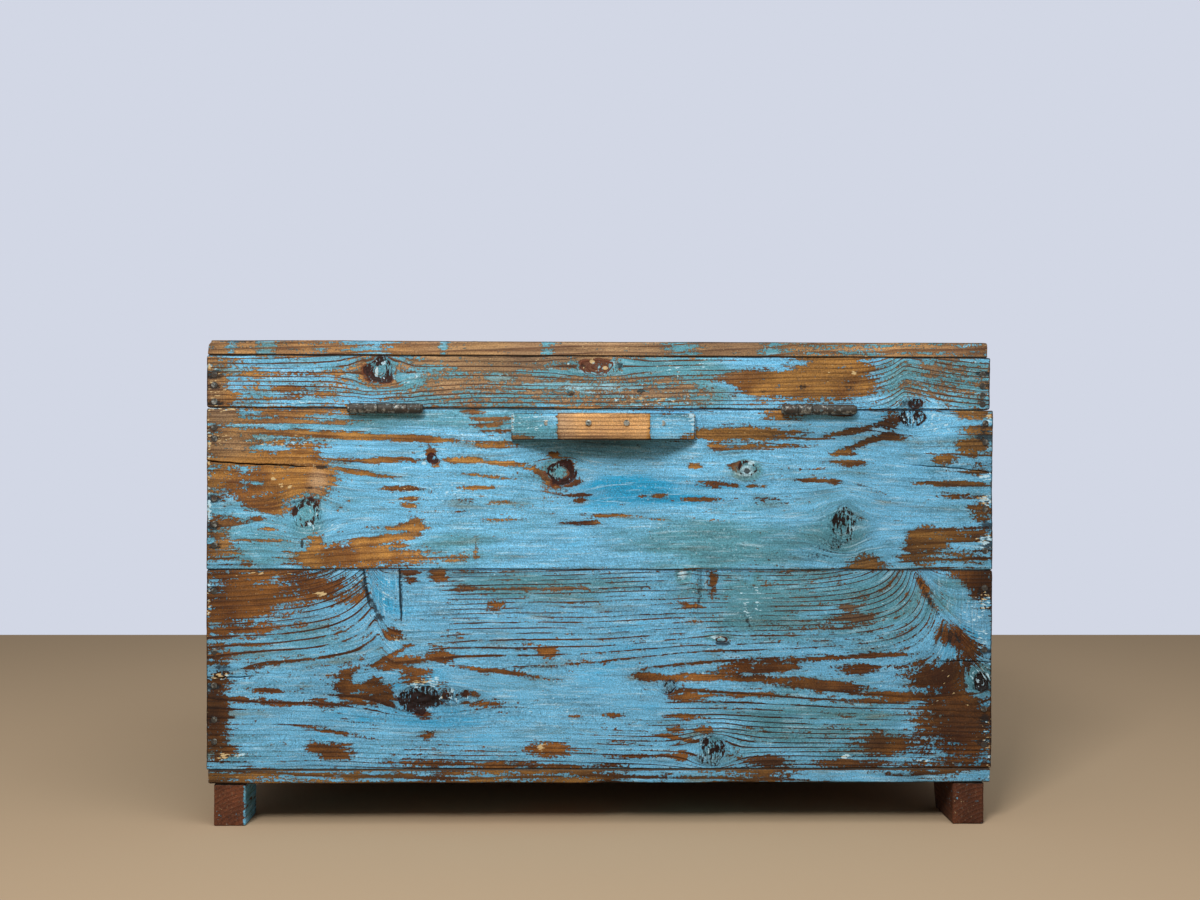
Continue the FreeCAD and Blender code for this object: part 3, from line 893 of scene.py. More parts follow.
small_marks_upper = [
    strip(350, 426, 460.5, 3, 0.08),
    strip(444, 472, 460.5, 3, 0.15),
    strip(425, 436, 452, 5, 0.25),
    strip(430, 440, 464, 4, 0.25),
    strip(373, 422, 488.5, 3, 0.1),
    strip(398, 422, 498.5, 2.4, 0.2),
    strip(400, 422, 506, 2.2, 0.25),
    strip(380, 427, 527.5, 3.2, 0.08),
    strip(409, 424, 526, 8, 0.12),
    strip(464, 482, 460, 3, 0.15),
    strip(482, 532, 464, 3, 0.1, 0.1),
    strip(524, 550, 471, 2.4, 0.15, 0.3),
    strip(460, 532, 477, 1.7, 0.28, 0.09),
    strip(463, 497, 487.5, 2.2, 0.15),
    strip(488, 522, 502, 2.2, 0.4),
    strip(556, 642, 515, 1.8, 0.5, 0.03),
    strip(640, 672, 518.5, 1.8, 0.45, 0.15),
    strip(476, 522, 520, 2, 0.25),
    strip(566, 602, 523.5, 2.2, 0.3),
    strip(549, 560, 454, 2.6, 0.15),
    Patch(559, 476, 18, 17, 0.15),
    Patch(557, 472, 9, 8, 1.2),
    Patch(739, 468, 7, 6, 0.2),
    Patch(747, 470, 9, 8, 1.2),
    Patch(307, 513, 9, 12, 0.9),
    strip(568, 588, 495, 2, 0.15),
    strip(574, 587, 500, 2.6, 0.1),
    strip(688, 702, 465.5, 2.8, 0.15),
    strip(700, 732, 484, 3, 0.15),
    strip(650, 668, 496, 2.4, 0.15),
    strip(672, 724, 499.5, 2.2, 0.2),
    strip(638, 648, 496, 2.2, 0.3),
    strip(473, 479, 552, 12, 0.35),
    strip(445, 472, 556, 6, 0.5),
    strip(728, 740, 486, 2.4, 0.2),
    strip(747, 757, 486, 2.4, 0.2),
    strip(759, 769, 487, 2, 0.3),
    strip(800, 830, 480.5, 2.2, 0.15),
    strip(826, 840, 482, 3.2, 0.15),
    strip(830, 866, 463.5, 3.6, 0.15),
    strip(832, 854, 453, 3.2, 0.15),
]
worn_upper_right = [
    strip(694, 800, 434, 6.6, 0.0, 0.03),
    strip(718, 812, 446.5, 2.4, 0.15),
    strip(818, 884, 431.5, 3, 0.1, -0.217),
    strip(841, 888, 443, 3.2, 0.1, -0.36),
    strip(878, 906, 437, 3, 0.12),
    strip(880, 902, 419, 10, 0.15),
    strip(956, 992, 415, 6, 0.2),
    strip(966, 994, 470, 6, 0.35),
    strip(968, 994, 508, 8, 0.4),
    strip(960, 992, 430, 6, 0.22),
    strip(958, 988, 447, 8, 0.18),
    strip(932, 958, 460, 6, 0.12),
    strip(908, 987, 483.5, 2.4, 0.15),
    strip(940, 980, 496, 2.6, 0.25),
    Patch(925, 545, 21, 19, 0.02, soft=0.35),
    strip(930, 990, 535, 6, 0.12),
    strip(904, 990, 556, 11, 0.42),
    strip(846, 886, 564, 6, 0.05),
    strip(857, 875, 556, 5, 0.2),
    strip(970, 992, 516, 10, 0.45),
]
thick_upper_paint = [
    strip(233, 470, 427, 3.6, 1.0),
    strip(320, 472, 449, 8, 1.08),
    strip(925, 956, 427, 15, 1.08),
    strip(920, 962, 448, 8, 0.98),
    strip(588, 702, 492, 22, 1.12),
    strip(868, 902, 525, 25, 1.0),
    strip(528, 592, 552, 13, 1.08),
    strip(330, 470, 505, 22, 0.96),
    strip(430, 470, 510, 40, 0.98),
    strip(696, 720, 419, 6, 1.1),
    strip(724, 746, 413, 3.6, 1.05),
    strip(600, 800, 452, 5, 0.98),
    strip(204, 302, 538, 28, 0.96),
    strip(440, 900, 542, 26, 1.06),
    strip(590, 900, 455, 8, 1.04),
]
upper_board = Looks(
    paint=0.98,
    pith=(-0.02, 0.09, 0.03),
    calm=[Patch(600, 490, 900, 400, 0.55), Patch(300, 500, 110, 60, 0.3)],
    patches=thick_upper_paint
    + worn_under_lid
    + bare_round_long_split
    + small_marks_upper
    + worn_upper_right,
    tones=[
        Patch(640, 494, 66, 24, 0.85),
        Patch(624, 490, 44, 14, 0.6),
        Patch(557, 472, 12, 10, -1.6),
        Patch(747, 470, 10, 8, -2.4),
        Patch(307, 513, 12, 16, -0.9),
        Patch(390, 446, 90, 14, 0.45),
        Patch(560, 552, 40, 14, 0.4),
        strip(204, 600, 420, 14, -0.5),
        Patch(690, 540, 80, 30, -0.5),
        Patch(800, 545, 90, 26, -0.6),
        Patch(843, 528, 26, 26, -0.6),
        Patch(450, 545, 40, 20, -0.7),
        Patch(250, 540, 60, 24, -0.4),
        Patch(290, 443, 40, 10, -0.3),
        Patch(885, 520, 26, 26, 0.5),
        Patch(710, 420, 40, 8, 0.3),
        Patch(940, 428, 20, 16, 0.25),
        Patch(886, 420, 18, 12, 0.6),
        strip(560, 606, 523.5, 4, 0.8),
        strip(644, 670, 496, 4, 0.8),
        strip(668, 730, 499.5, 4, 0.8),
        strip(696, 770, 485, 5, 0.7),
        Patch(318, 481, 10, 12, -1.0),
        Patch(227, 446, 28, 14, -0.8),
        Patch(219, 414, 18, 8, -0.8),
        Patch(975, 430, 22, 24, -0.4),
        Patch(940, 556, 50, 14, -0.2),
    ],
    aged_and_shaded=[
        Patch(206, 490, 16, 110, 0.3),
        Patch(900, 480, 130, 100, 0.4),
        Patch(750, 434, 60, 12, 0.4),
        strip(560, 606, 523.5, 4, 0.4),
        strip(564, 592, 498, 6, 0.35),
        strip(644, 670, 496, 4, 0.4),
        strip(668, 730, 499.5, 4, 0.45),
        strip(696, 770, 485, 6, 0.4),
        Patch(945, 470, 40, 24, 0.15),
        Patch(272, 482, 54, 22, -0.08),
        Patch(318, 481, 9, 12, -0.5),
        Patch(372, 556, 60, 14, -0.22),
        # Painted shadow of the lid stop block on the board under it: dark just below the block, then
        # fading (this patch and the next)
        Patch(602, 442, 56, 8, 1.7),
        Patch(600, 452, 80, 10, 0.2),
        Patch(700, 552, 150, 20, 0.28),
        Patch(830, 550, 80, 22, 0.3),
        Patch(843, 526, 24, 26, 0.4),
        Patch(985, 520, 30, 70, 0.3),
        Patch(890, 420, 20, 14, 0.35),
        Patch(940, 428, 20, 16, -0.4),
        Patch(860, 434, 40, 12, 0.4),
        Patch(960, 560, 60, 16, 0.3),
        Patch(978, 434, 24, 28, 0.15),
        Patch(270, 560, 70, 12, 0.25),
    ],
    stains=nail_stains(UPPER_NAILS_DOWN, 11)
    + [
        Patch(843, 526, 16, 24, 0.34),
        Patch(818, 548, 20, 14, 0.42),
        Patch(868, 532, 5, 16, 0.3),
        Patch(747, 471, 3.4, 3, 1.0),
        Patch(778, 436, 13, 4, 0.35),
        Patch(904, 426, 8, 8, 0.3),
        Patch(852, 431, 30, 3, 0.25, -0.217),
        Patch(862, 444, 20, 3, 0.25, -0.36),
        Patch(322, 467.5, 7, 2, 1.0),
        Patch(309, 489, 4, 3.4, 0.6),
        Patch(304, 512, 3, 12, 0.3),
        Patch(313, 516, 2, 8, 0.3),
        Patch(302, 544, 1.6, 5, 1.0),
        Patch(212, 500, 5, 5, 0.4),
        Patch(213, 529, 4, 8, 0.5),
        Patch(216, 546, 6, 3, 0.5),
        Patch(300, 500, 16, 4, 0.3),
        Patch(298, 528, 14, 4, 0.3),
        Patch(988, 535, 6, 30, 0.4),
    ],
    chips=[
        Patch(273, 479, 2, 2, 0.8),
        Patch(281, 485, 2, 2, 0.8),
        Patch(290, 487, 2.4, 2, 0.8),
        Patch(300, 466, 20, 2, 0.4),
        Patch(284, 443, 34, 7, 0.3),
        Patch(223, 409, 18, 2, 0.6),
        Patch(220, 438, 14, 6, 0.3),
        Patch(308, 516, 8, 8, 0.36),
        Patch(557, 470, 8, 5, 0.3),
        Patch(424, 463, 3, 1.6, 0.9),
        Patch(749, 463, 8, 2.4, 0.5),
        Patch(912, 416, 9, 7, 0.38),
        Patch(985, 500, 8, 7, 0.6),
        Patch(985, 541, 8, 8, 0.6),
        Patch(986, 477, 6, 4, 0.6),
        Patch(989, 419, 4, 6, 0.6),
        Patch(209, 510, 3, 9, 0.6),
        Patch(208, 462, 3, 50, 0.4),
        Patch(320, 528, 26, 6, 0.26),
        Patch(430, 490, 40, 12, 0.22),
        Patch(480, 438, 40, 5, 0.24),
        Patch(652, 500, 60, 10, 0.12),
        Patch(938, 424, 16, 10, 0.3),
    ],
    knots=[
        Knot(561.5, 473.5, 14, 13.5, sink=0.6 * MM, heart=0.5),
        Knot(747, 470, 9, 8, heart=0.8),
        Knot(843, 525, 12, 20, sink=0.8 * MM),
        Knot(307, 513, 13, 17, dark=0.8, heart=0.55),
        Knot(431.5, 458, 5.5, 5.5),
        Knot(912, 418, 14, 10),
    ],
    splits=[
        Split(205, 461.5, 322, 467.5, wide=0.6, deep=4 * MM),
        Split(994, 472, 893, 463, wide=0.5, deep=2 * MM),
    ],
)

# The lower board of the photographed side
bare_lower_left = [
    strip(204, 292, 576, 6, 0.2),
    strip(204, 292, 597, 16, 0.03),
    strip(204, 262, 614, 8, 0.12, -0.15),
    strip(204, 282, 629.5, 4.6, 0.15),
    strip(204, 270, 638, 2, 0.35),
    strip(204, 258, 645, 2, 0.35),
    strip(288, 344, 586, 12, 0.05, 0.2),
    strip(290, 348, 576, 2.6, 0.6),
    strip(338, 366, 592, 11, 0.42),
    strip(204, 232, 656, 8, 0.3),
    strip(204, 228, 712, 34, 0.0),
    strip(204, 236, 752, 8, 0.3),
    strip(253, 282, 691, 3, 0.2),
    strip(260, 292, 702.5, 3.4, 0.2),
    strip(288, 362, 704, 2, 0.25),
    strip(226, 250, 700, 3, 0.3),
]
swirl_round_low_knot = [
    strip(333, 378, 686, 16, 0.02, 0.2),
    strip(366, 392, 688, 9, 0.05),
    Patch(374, 695, 26, 9, 0.05, 0.15),
    strip(376, 414, 665, 6, 0.08, -0.2),
    strip(398, 432, 676, 8, 0.06),
    strip(432, 450, 692, 10, 0.4),
    Patch(420, 699, 14, 9, 0.3),
    strip(383, 399, 677, 5.4, 1.0, -0.2),
    strip(352, 371, 677, 5, 0.95, -0.2),
    strip(308, 336, 704, 5, 0.15, 0.3),
    strip(430, 454, 656, 6, 0.1),
    strip(382, 404, 634, 6, 0.12),
    strip(368, 410, 657, 2.6, 0.2, -0.55),
    strip(416, 432, 714, 4.6, 0.15),
    strip(418, 432, 735, 4, 0.25),
    strip(290, 362, 731, 2.2, 0.2, 0.14),
    strip(316, 350, 751, 8, 0.06),
    strip(306, 324, 747, 5, 0.1),
    strip(392, 472, 763, 3.6, 0.15),
    strip(430, 446, 576, 7, 0.15),
    strip(400, 416, 572, 3.2, 0.2),
    strip(403, 417, 581, 3.4, 0.2),
    strip(454, 472, 589, 3.2, 0.2),
]
small_marks_lower = [
    strip(486, 508, 604, 4.6, 0.06),
    strip(536, 559, 652, 4.2, 0.08),
    strip(458, 562, 673.5, 2.2, 0.12, 0.13),
    strip(458, 482, 693.5, 3.6, 0.2),
    strip(464, 504, 704.5, 3, 0.12),
    strip(470, 625, 589, 2, 0.28),
    strip(632, 666, 677, 4, 0.05),
    strip(664, 732, 677, 4, 0.05, -0.04),
    strip(670, 706, 697, 4.4, 0.12),
    strip(666, 702, 716.5, 2.8, 0.15),
    strip(668, 682, 730, 4, 0.2),
    strip(696, 712, 730, 3.4, 0.12),
    strip(652, 702, 738.5, 2.2, 0.2, 0.16),
    strip(523, 567, 749, 7, 0.08),
    strip(458, 534, 765.5, 3.6, 0.12),
    strip(538, 582, 766.5, 2.4, 0.2),
    strip(588, 628, 765, 2.4, 0.2),
    strip(616, 702, 756, 2.2, 0.35),
    strip(673, 692, 756, 4.4, 0.15),
    strip(706, 717, 582, 13, 0.06),
    strip(692, 710, 588, 22, 0.86),
    strip(680, 702, 606, 3.6, 0.2),
    strip(706, 734, 639, 5, 0.8),
    strip(696, 728, 752, 13, 1.06),
    strip(838, 857, 608, 3.6, 0.12),
    strip(834, 877, 618, 4, 0.12),
    strip(778, 852, 628, 1.6, 0.45),
    strip(566, 584, 716, 2, 0.3),
    strip(598, 628, 715, 2.2, 0.3),
]
wedge_of_bare_grain = [
    strip(716, 800, 668, 6.4, 0.05, -0.06),
    strip(776, 906, 657.5, 2.2, 0.05, -0.05),
    strip(716, 800, 679, 3.2, 0.1),
    strip(784, 862, 685.5, 4.6, 0.05, 0.06),
    strip(856, 942, 695, 3.6, 0.08, 0.05),
    strip(820, 946, 700.5, 2.2, 0.25),
    strip(844, 882, 670, 5, 0.1),
    strip(798, 862, 671.5, 5, 0.9),
    strip(868, 916, 677, 10, 0.82),
    strip(846, 880, 670, 3.4, 0.12),
    strip(722, 790, 695, 2.4, 0.15),
]
bare_lower_right = [
    strip(908, 994, 678, 17, 0.0),
    strip(936, 992, 722, 40, 0.03),
    strip(858, 914, 744, 10, 0.06),
    strip(912, 945, 730, 22, 0.32),
    Patch(981, 584, 15, 18, 0.05),
    Patch(964, 574, 14, 7, 0.1, 0.3),
    strip(958, 982, 651, 10, 0.12),
    Patch(953, 636, 17, 12, 0.06, lean=0.5),
    Patch(924, 588, 5, 16, 0.2, lean=0.5),
    strip(743, 792, 762, 6, 0.15),
    strip(818, 892, 763.5, 4.4, 0.12),
    strip(900, 992, 765, 4, 0.3),
    Patch(979, 681, 12, 12, 1.25),
    Patch(981, 681, 6.5, 7.5, 0.35),
]
thick_lower_paint = [
    Patch(386, 594, 12, 24, 1.06),
    Patch(424, 610, 19, 36, 1.1),
    Patch(925, 580, 11, 9, 1.05),
    Patch(962, 612, 26, 30, 0.98),
    Patch(972, 626, 18, 15, 1.08),
    strip(236, 342, 718, 17, 1.05),
    strip(240, 318, 745, 20, 0.98),
    strip(545, 655, 690, 26, 1.15),
    strip(450, 632, 681, 12, 1.15),
    strip(440, 600, 728, 18, 1.02),
    strip(358, 420, 740, 16, 0.95),
    strip(560, 700, 620, 46, 0.95),
    strip(440, 560, 625, 46, 0.88),
    strip(728, 760, 610, 40, 0.98),
    strip(760, 910, 615, 44, 0.8),
    strip(730, 860, 728, 30, 0.82),
    strip(262, 370, 630, 16, 0.82),
    strip(240, 336, 665, 20, 0.85),
]
lower_board = Looks(
    paint=0.86,
    pith=(-0.0095, 0.06, -0.03),
    ring=5.0 * MM,
    age_and_shade=0.36,
    calm=[
        Patch(246, 594, 56, 22, 0.8),
        Patch(290, 682, 84, 14, 1.0),
        Patch(510, 682, 110, 12, 1.0),
        Patch(320, 742, 110, 24, 0.75),
        Patch(520, 722, 110, 26, 0.75),
        Patch(420, 612, 26, 40, 0.9),
        Patch(390, 640, 18, 14, 0.7),
        Patch(600, 700, 60, 24, 0.8),
        Patch(880, 668, 80, 24, 1.0),
        Patch(760, 674, 90, 14, 0.8),
        Patch(965, 722, 50, 44, 0.8),
        Patch(890, 742, 50, 20, 0.6),
        Patch(960, 600, 40, 50, 0.6),
        Patch(760, 600, 70, 40, 0.3),
        Patch(751, 602, 13, 24, 0.8),
    ],
    patches=thick_lower_paint
    + bare_lower_left
    + small_marks_lower
    + wedge_of_bare_grain
    + bare_lower_right
    + swirl_round_low_knot,
    tones=[
        Patch(560, 690, 400, 80, 0.15),
        Patch(600, 690, 66, 30, 0.2),
        Patch(292, 720, 70, 26, 0.35),
        Patch(480, 724, 70, 20, 0.25),
        Patch(424, 612, 26, 36, 0.2),
        Patch(386, 594, 14, 26, 0.4),
        Patch(820, 600, 100, 40, -1.0),
        Patch(540, 585, 90, 14, -0.9),
        Patch(330, 640, 80, 16, -0.6),
        Patch(620, 650, 60, 20, 0.2),
        Patch(800, 725, 90, 36, -0.9),
        Patch(925, 580, 12, 10, 0.6),
        Patch(972, 628, 20, 16, 0.4),
        Patch(945, 610, 20, 30, -0.4),
        Patch(218, 704, 16, 36, 0.3),
        Patch(250, 600, 50, 22, 0.5),
        Patch(950, 677, 44, 16, 0.5),
        Patch(965, 725, 36, 40, 0.8),
        Patch(948, 636, 16, 16, 0.9),
        Patch(380, 742, 30, 14, -0.5),
        Patch(480, 690, 30, 14, -0.5),
        Patch(712, 582, 8, 14, 0.5),
        Patch(979, 681, 16, 14, -2.6),
        Patch(746, 605, 3.4, 17, -0.9, lean=0.2),
        Patch(757, 597, 3.4, 22, -0.9),
        Patch(718, 637, 9, 2.4, -3.2),
        Patch(683, 574, 5, 7, -3.0),
    ],
    aged_and_shaded=[
        Patch(216, 704, 15, 40, 0.35),
        Patch(712, 582, 9, 16, 0.35),
        Patch(356, 684, 44, 20, 0.3),
        Patch(332, 752, 30, 12, 0.25),
        Patch(884, 742, 34, 12, 0.15),
        Patch(224, 668, 12, 5, 0.4),
        Patch(246, 596, 50, 18, 0.15),
        Patch(206, 670, 16, 130, 0.2),
        Patch(992, 670, 14, 130, 0.2),
        Patch(432, 698, 50, 16, 0.3),
        Patch(230, 752, 30, 14, 0.25),
        Patch(830, 730, 110, 44, 0.2),
        Patch(965, 725, 40, 44, 0.3),
        Patch(955, 672, 44, 16, 0.25),
        Patch(985, 620, 16, 50, 0.3),
        Patch(600, 767, 420, 7, 0.3),
        Patch(850, 640, 150, 90, 0.18),
        Patch(980, 585, 18, 20, 0.1),
        Patch(600, 572, 400, 4, 0.2),
    ],
    stains=nail_stains(LOWER_NAILS_DOWN, 12)
    + [
        Patch(363, 580, 3, 12, 0.6, lean=0.2),
        Patch(372, 604, 4, 14, 0.7, lean=0.5),
        Patch(380, 618, 6, 3, 0.6),
        Patch(401, 598, 2, 28, 0.6),
        Patch(390, 628, 12, 10, 0.3),
        Patch(924, 590, 3, 16, 0.6, lean=0.5),
        Patch(952, 637, 12, 10, 0.6, lean=0.6),
        Patch(936, 612, 4, 12, 0.5, lean=0.6),
        Patch(974, 600, 2, 22, 0.3, lean=0.4),
        Patch(699, 588, 5, 24, 0.42),
        Patch(712, 752, 15, 12, 0.3),
        Patch(723, 643, 8, 2.4, 1.0),
        Patch(668.5, 688.5, 9, 8, 0.3),
        Patch(748, 622, 1.6, 8, 0.9, lean=0.5),
        Patch(424, 699, 26, 13, 0.36),
        Patch(452, 698, 22, 9, 0.3),
        Patch(984, 745, 10, 26, 0.3),
        Patch(212, 704, 5, 26, 0.3),
        Patch(222, 668, 9, 4, 0.6),
        Patch(238, 644, 26, 2, 0.3),
        Patch(546, 760, 30, 3, 0.3),
    ],
    chips=[
        Patch(415, 685, 11, 4, 0.6, -0.4),
        Patch(433, 682, 9, 7, 0.48, -0.4),
        Patch(220, 676, 13, 3.4, 0.5),
        Patch(541, 747, 4, 4, 0.75),
        Patch(222, 756, 6, 4.4, 0.7),
        Patch(240, 755, 5, 4, 0.65),
        Patch(320, 594, 7, 2, 0.9),
        Patch(260, 574, 26, 3, 0.3),
        Patch(846, 756, 5, 2, 0.9, -0.3),
        Patch(925, 761, 8, 2.4, 0.5),
        Patch(984, 640, 6, 10, 0.35),
        Patch(986, 600, 5, 10, 0.4),
        Patch(987, 745, 5, 30, 0.3),
        Patch(208, 600, 3, 30, 0.35),
        Patch(681, 575, 4, 7, 0.5),
        Patch(386, 594, 9, 22, 0.26),
        Patch(716, 638, 8, 2, 0.6),
        Patch(746, 605, 3, 16, 0.38, lean=0.2),
        Patch(757, 597, 3, 22, 0.38),
        Patch(398, 640, 10, 5, 0.35),
        Patch(360, 580, 10, 8, 0.25),
        Patch(455, 695, 22, 9, 0.34),
        Patch(980, 678, 12, 12, 0.4),
        Patch(706, 745, 8, 12, 0.36),
        Patch(560, 705, 40, 26, 0.14),
        Patch(972, 618, 14, 20, 0.28),
    ],
    knots=[
        Knot(419, 698, 21, 13, sink=1.2 * MM),
        Knot(454, 696, 16, 8, dark=0.5),
        Knot(981, 681, 8, 9, sink=0.8 * MM),
        Knot(668.5, 688.5, 6.4, 6.4, heart=0.3),
        Knot(712, 751, 14, 14, sink=0.8 * MM, dark=0.7),
        Knot(721, 640, 8, 4, sink=1.5 * MM, dark=0.3),
    ],
    spikes=[
        Spike(366, 570, 34, 40, 5, 650, 0.2, wide=31, foot=618),
        Spike(918, 575, 46, 30, 6, 690, 0.6, wide=70, foot=652),
        Spike(692, 566, 3, 10, 5, 600, wide=19, foot=612),
    ],
    splits=[
        Split(363, 569, 371, 612, wide=0.8, deep=2.6 * MM),
        Split(399, 569, 402, 626, wide=0.6, deep=3 * MM),
        Split(994, 662, 918, 661, wide=0.5, deep=2 * MM),
        Split(206, 678, 262, 676, wide=0.5),
    ],
)

# The rear rail of the lid
bare_rail = [
    strip(420, 720, 382, 26, 0.4),
    strip(204, 226, 388, 18, 0.15),
    strip(204, 242, 363, 5, 0.3),
    strip(204, 236, 398, 7, 0.15),
    strip(254, 260, 380, 14, 0.45),
    strip(268, 302, 389, 2.8, 0.15),
    strip(298, 338, 394, 3, 0.2, 0.05),
    strip(232, 330, 374, 2, 0.4),
    strip(240, 300, 398, 2, 0.4),
    strip(358, 398, 371, 15, 0.4),
    Patch(382, 368, 10, 11, 1.0),
    strip(418, 548, 364, 7, 0.12),
    strip(418, 474, 387, 8, 0.28),
    strip(474, 530, 376, 5, 0.4),
    strip(572, 622, 368, 10, 0.25),
    strip(598, 692, 388, 7, 0.35),
    strip(530, 600, 361, 3, 0.3),
    strip(520, 700, 401, 3, 0.4),
    strip(640, 700, 378, 2, 0.3),
]
blue_left_on_rail = [
    strip(420, 456, 367, 2.2, 0.85),
    strip(443, 472, 374.5, 2.4, 0.9),
    strip(486, 510, 376.5, 2.4, 1.0),
    strip(528, 592, 373, 2.2, 0.9),
    strip(394, 422, 379, 6, 1.0),
    strip(278, 312, 402, 3, 0.95),
    strip(612, 732, 366, 8, 0.84),
    strip(688, 736, 372, 13, 1.02),
    strip(720, 802, 364, 6, 1.05),
    strip(718, 758, 392, 8, 1.02),
    strip(500, 642, 386, 4, 0.8),
]
large_bare_patch = [
    strip(728, 872, 381, 9.5, 0.0, 0.05),
    Patch(752, 381, 22, 10, 0.0, soft=0.4),
    strip(800, 878, 368, 11, 0.0),
    strip(752, 870, 392, 5, 0.05),
    strip(878, 912, 381, 24, 0.8),
    strip(910, 992, 380, 26, 0.58),
]
lid_rail = Looks(
    paint=0.76,
    pith=(0.1, 0.05, 0.01),
    ring=5.0 * MM,
    age_and_shade=-0.12,
    calm=[Patch(815, 380, 70, 30, 1.0)],
    patches=bare_rail + blue_left_on_rail + large_bare_patch,
    tones=[
        Patch(570, 387, 90, 10, -0.9),
        Patch(950, 380, 50, 24, -1.1),
        Patch(815, 380, 64, 20, 0.5),
        Patch(300, 372, 90, 16, 0.1),
        Patch(660, 395, 60, 8, -0.9),
        Patch(668, 366, 50, 10, -0.2),
        Patch(896, 382, 16, 24, -0.6),
        Patch(760, 364, 44, 6, 0.6),
        Patch(736, 391, 20, 9, 0.5),
        Patch(445, 388, 34, 8, -0.8),
        Patch(214, 385, 12, 26, -0.5),
        strip(204, 720, 380, 40, -0.35),
        strip(204, 560, 362, 8, -0.3),
        strip(420, 720, 380, 24, -1.0),
    ],
    aged_and_shaded=[
        Patch(214, 385, 10, 26, 0.25),
        Patch(955, 382, 44, 28, 0.35),
        Patch(815, 380, 74, 30, 0.42),
        Patch(500, 362, 60, 6, 0.25),
        Patch(600, 364, 30, 10, 0.3),
        Patch(236, 362, 30, 8, 0.25),
    ],
    stains=nail_stains(RAIL_NAILS_DOWN, 13)
    + [
        Patch(380, 370, 17, 15, 0.24),
        Patch(583, 367, 5, 4, 0.6),
        Patch(619, 366, 5, 5, 0.6),
        Patch(571, 393, 4, 3, 0.7),
        Patch(641, 392, 5, 3, 0.7),
        Patch(764, 391, 5, 4, 0.6),
        Patch(803, 386, 4, 5, 0.55),
        Patch(850, 388, 7, 4, 0.5),
        Patch(828, 393, 8, 2.4, 0.4),
        Patch(915, 404, 20, 5, 0.5),
        Patch(960, 368, 34, 8, 0.2),
    ],
    chips=[
        Patch(209, 366, 2.5, 3, 0.9),
        Patch(853, 373, 3, 2, 0.9),
        Patch(592, 361.5, 3, 2, 0.9),
        Patch(605, 368, 3, 2, 0.9),
        Patch(378, 368, 14, 12, 0.24),
        Patch(408, 379, 12, 6, 0.3),
        Patch(298, 402, 20, 3, 0.36),
        Patch(645, 400, 48, 5, 0.32),
        Patch(216, 390, 8, 18, 0.34),
        Patch(690, 366, 30, 8, 0.2),
    ],
    knots=[
        Knot(379, 371, 15, 14, dark=0.8, heart=0.45),
        Knot(597, 367, 20, 9, dark=0.45),
        Knot(915, 404, 8, 5),
    ],
    spikes=[Spike(905, 400, 16, 16, 70, 440)],
)

# The rear planks of the lid and the bottom show only their rear edges in the photograph. The
# middle of these planks is at this many pixels from its left, and their rear edge at this many
# steps from their middle.
EDGE_MIDDLE = 598.5
REAR_EDGE_DOWN = 78
ALL_ALONG = (598, 420)
FAR_PAST_BOTH_ENDS = (598, 600)


def edge_patch(right, wide, level, high=7):
    """A patch on a thin edge, at so many pixels from the photograph's left."""
    return Patch(right - EDGE_MIDDLE, REAR_EDGE_DOWN, wide, high, level)


# How many places of wear lie on a square metre of a face that the photograph doesn't show
SPOTS_PER_SQUARE_METRE = 100


def other_looks(length, width, seed, paint, edges=()):
    """Wear for a face that the photograph doesn't show, of the same kind and about as much."""
    rng = np.random.default_rng(seed)
    half_long = length / PIXEL / 2
    half_wide = width / PIXEL / 2

    def spot(wide, high, level):
        return Patch(
            rng.uniform(-half_long, half_long),
            rng.uniform(-half_wide, half_wide),
            rng.uniform(*wide),
            rng.uniform(*high),
            rng.uniform(*level),
            rng.uniform(-0.08, 0.08),
        )

    many = max(2, round(length * width * SPOTS_PER_SQUARE_METRE))

    # Worn places, thin worn streaks, thick paint, and the worn ends
    patches = [spot((20, 70), (4, 16), (0.1, 0.45)) for _ in range(round(many * 0.9))]
    patches += [spot((10, 30), (2, 4), (0.15, 0.35)) for _ in range(round(many * 1.4))]
    patches += [spot((40, 90), (10, 26), (0.92, 1.05)) for _ in range(round(many * 0.6))]
    patches += [Patch(side * half_long, 0, 20, half_wide, 0.42) for side in (-1, 1)]
    knots = []
    for _ in range(max(1, round(many * 0.16))):
        size = rng.uniform(6, 14)
        knots.append(
            Knot(
                rng.uniform(-0.85, 0.85) * half_long,
                rng.uniform(-0.7, 0.7) * half_wide,
                size,
                size * rng.uniform(0.7, 1.2),
                dark=rng.uniform(0.5, 1.0),
            )
        )

    # Bluer and greener places, and what age, hands and nails have left
    tones = [spot((40, 100), (12, 40), (-0.9, 0.8)) for _ in range(max(2, many // 4))]
    aged_and_shaded = [spot((60, 140), (20, 60), (0.1, 0.45)) for _ in range(max(2, many // 6))]
    aged_and_shaded += [Patch(side * half_long, 0, 24, half_wide * 1.5, 0.3) for side in (-1, 1)]
    stains = [Patch(side * half_long, rng.uniform(-1, 1) * half_wide, 12, 20, 0.35) for side in (-1, 1)]
    stains += [Patch(k.right, k.down, k.wide * 1.3, k.high * 1.3, 0.25) for k in knots]
    chips = [spot((2, 6), (2, 4), (0.5, 0.8)) for _ in range(max(1, many // 5))]
    chips += [Patch(k.right, k.down, k.wide * 2.2, k.high * 1.6, 0.3) for k in knots]
    chips += [Patch(side * half_long, 0, 6, half_wide, 0.3) for side in (-1, 1)]
    pith = (rng.uniform(-0.3, 0.3) * width, rng.uniform(0.04, 0.08), rng.uniform(-0.05, 0.05))
    return Looks(
        paint=paint,
        calm=[Patch(0, 0, half_long * 3, half_wide * 3, 0.45)],
        patches=patches + list(edges),
        tones=tones,
        aged_and_shaded=aged_and_shaded,
        stains=stains,
        chips=chips,
        knots=knots,
        pith=pith,
    )


# The block that stops the lid: bare and pale in the middle, painted on its sloping ends. It
# keeps its full depth over the first share of its length, and its ends the second share of it.
STOP_FLAT_SHARE = 0.484
STOP_END_SHARE = 7 / 36

# Where the block and its bare part begin and end in the photograph, and how soft a clean line is
WHOLE_STOP = (508, 700)
BARE_ON_STOP = (558, 648)
CLEAN_LINE = 0.05


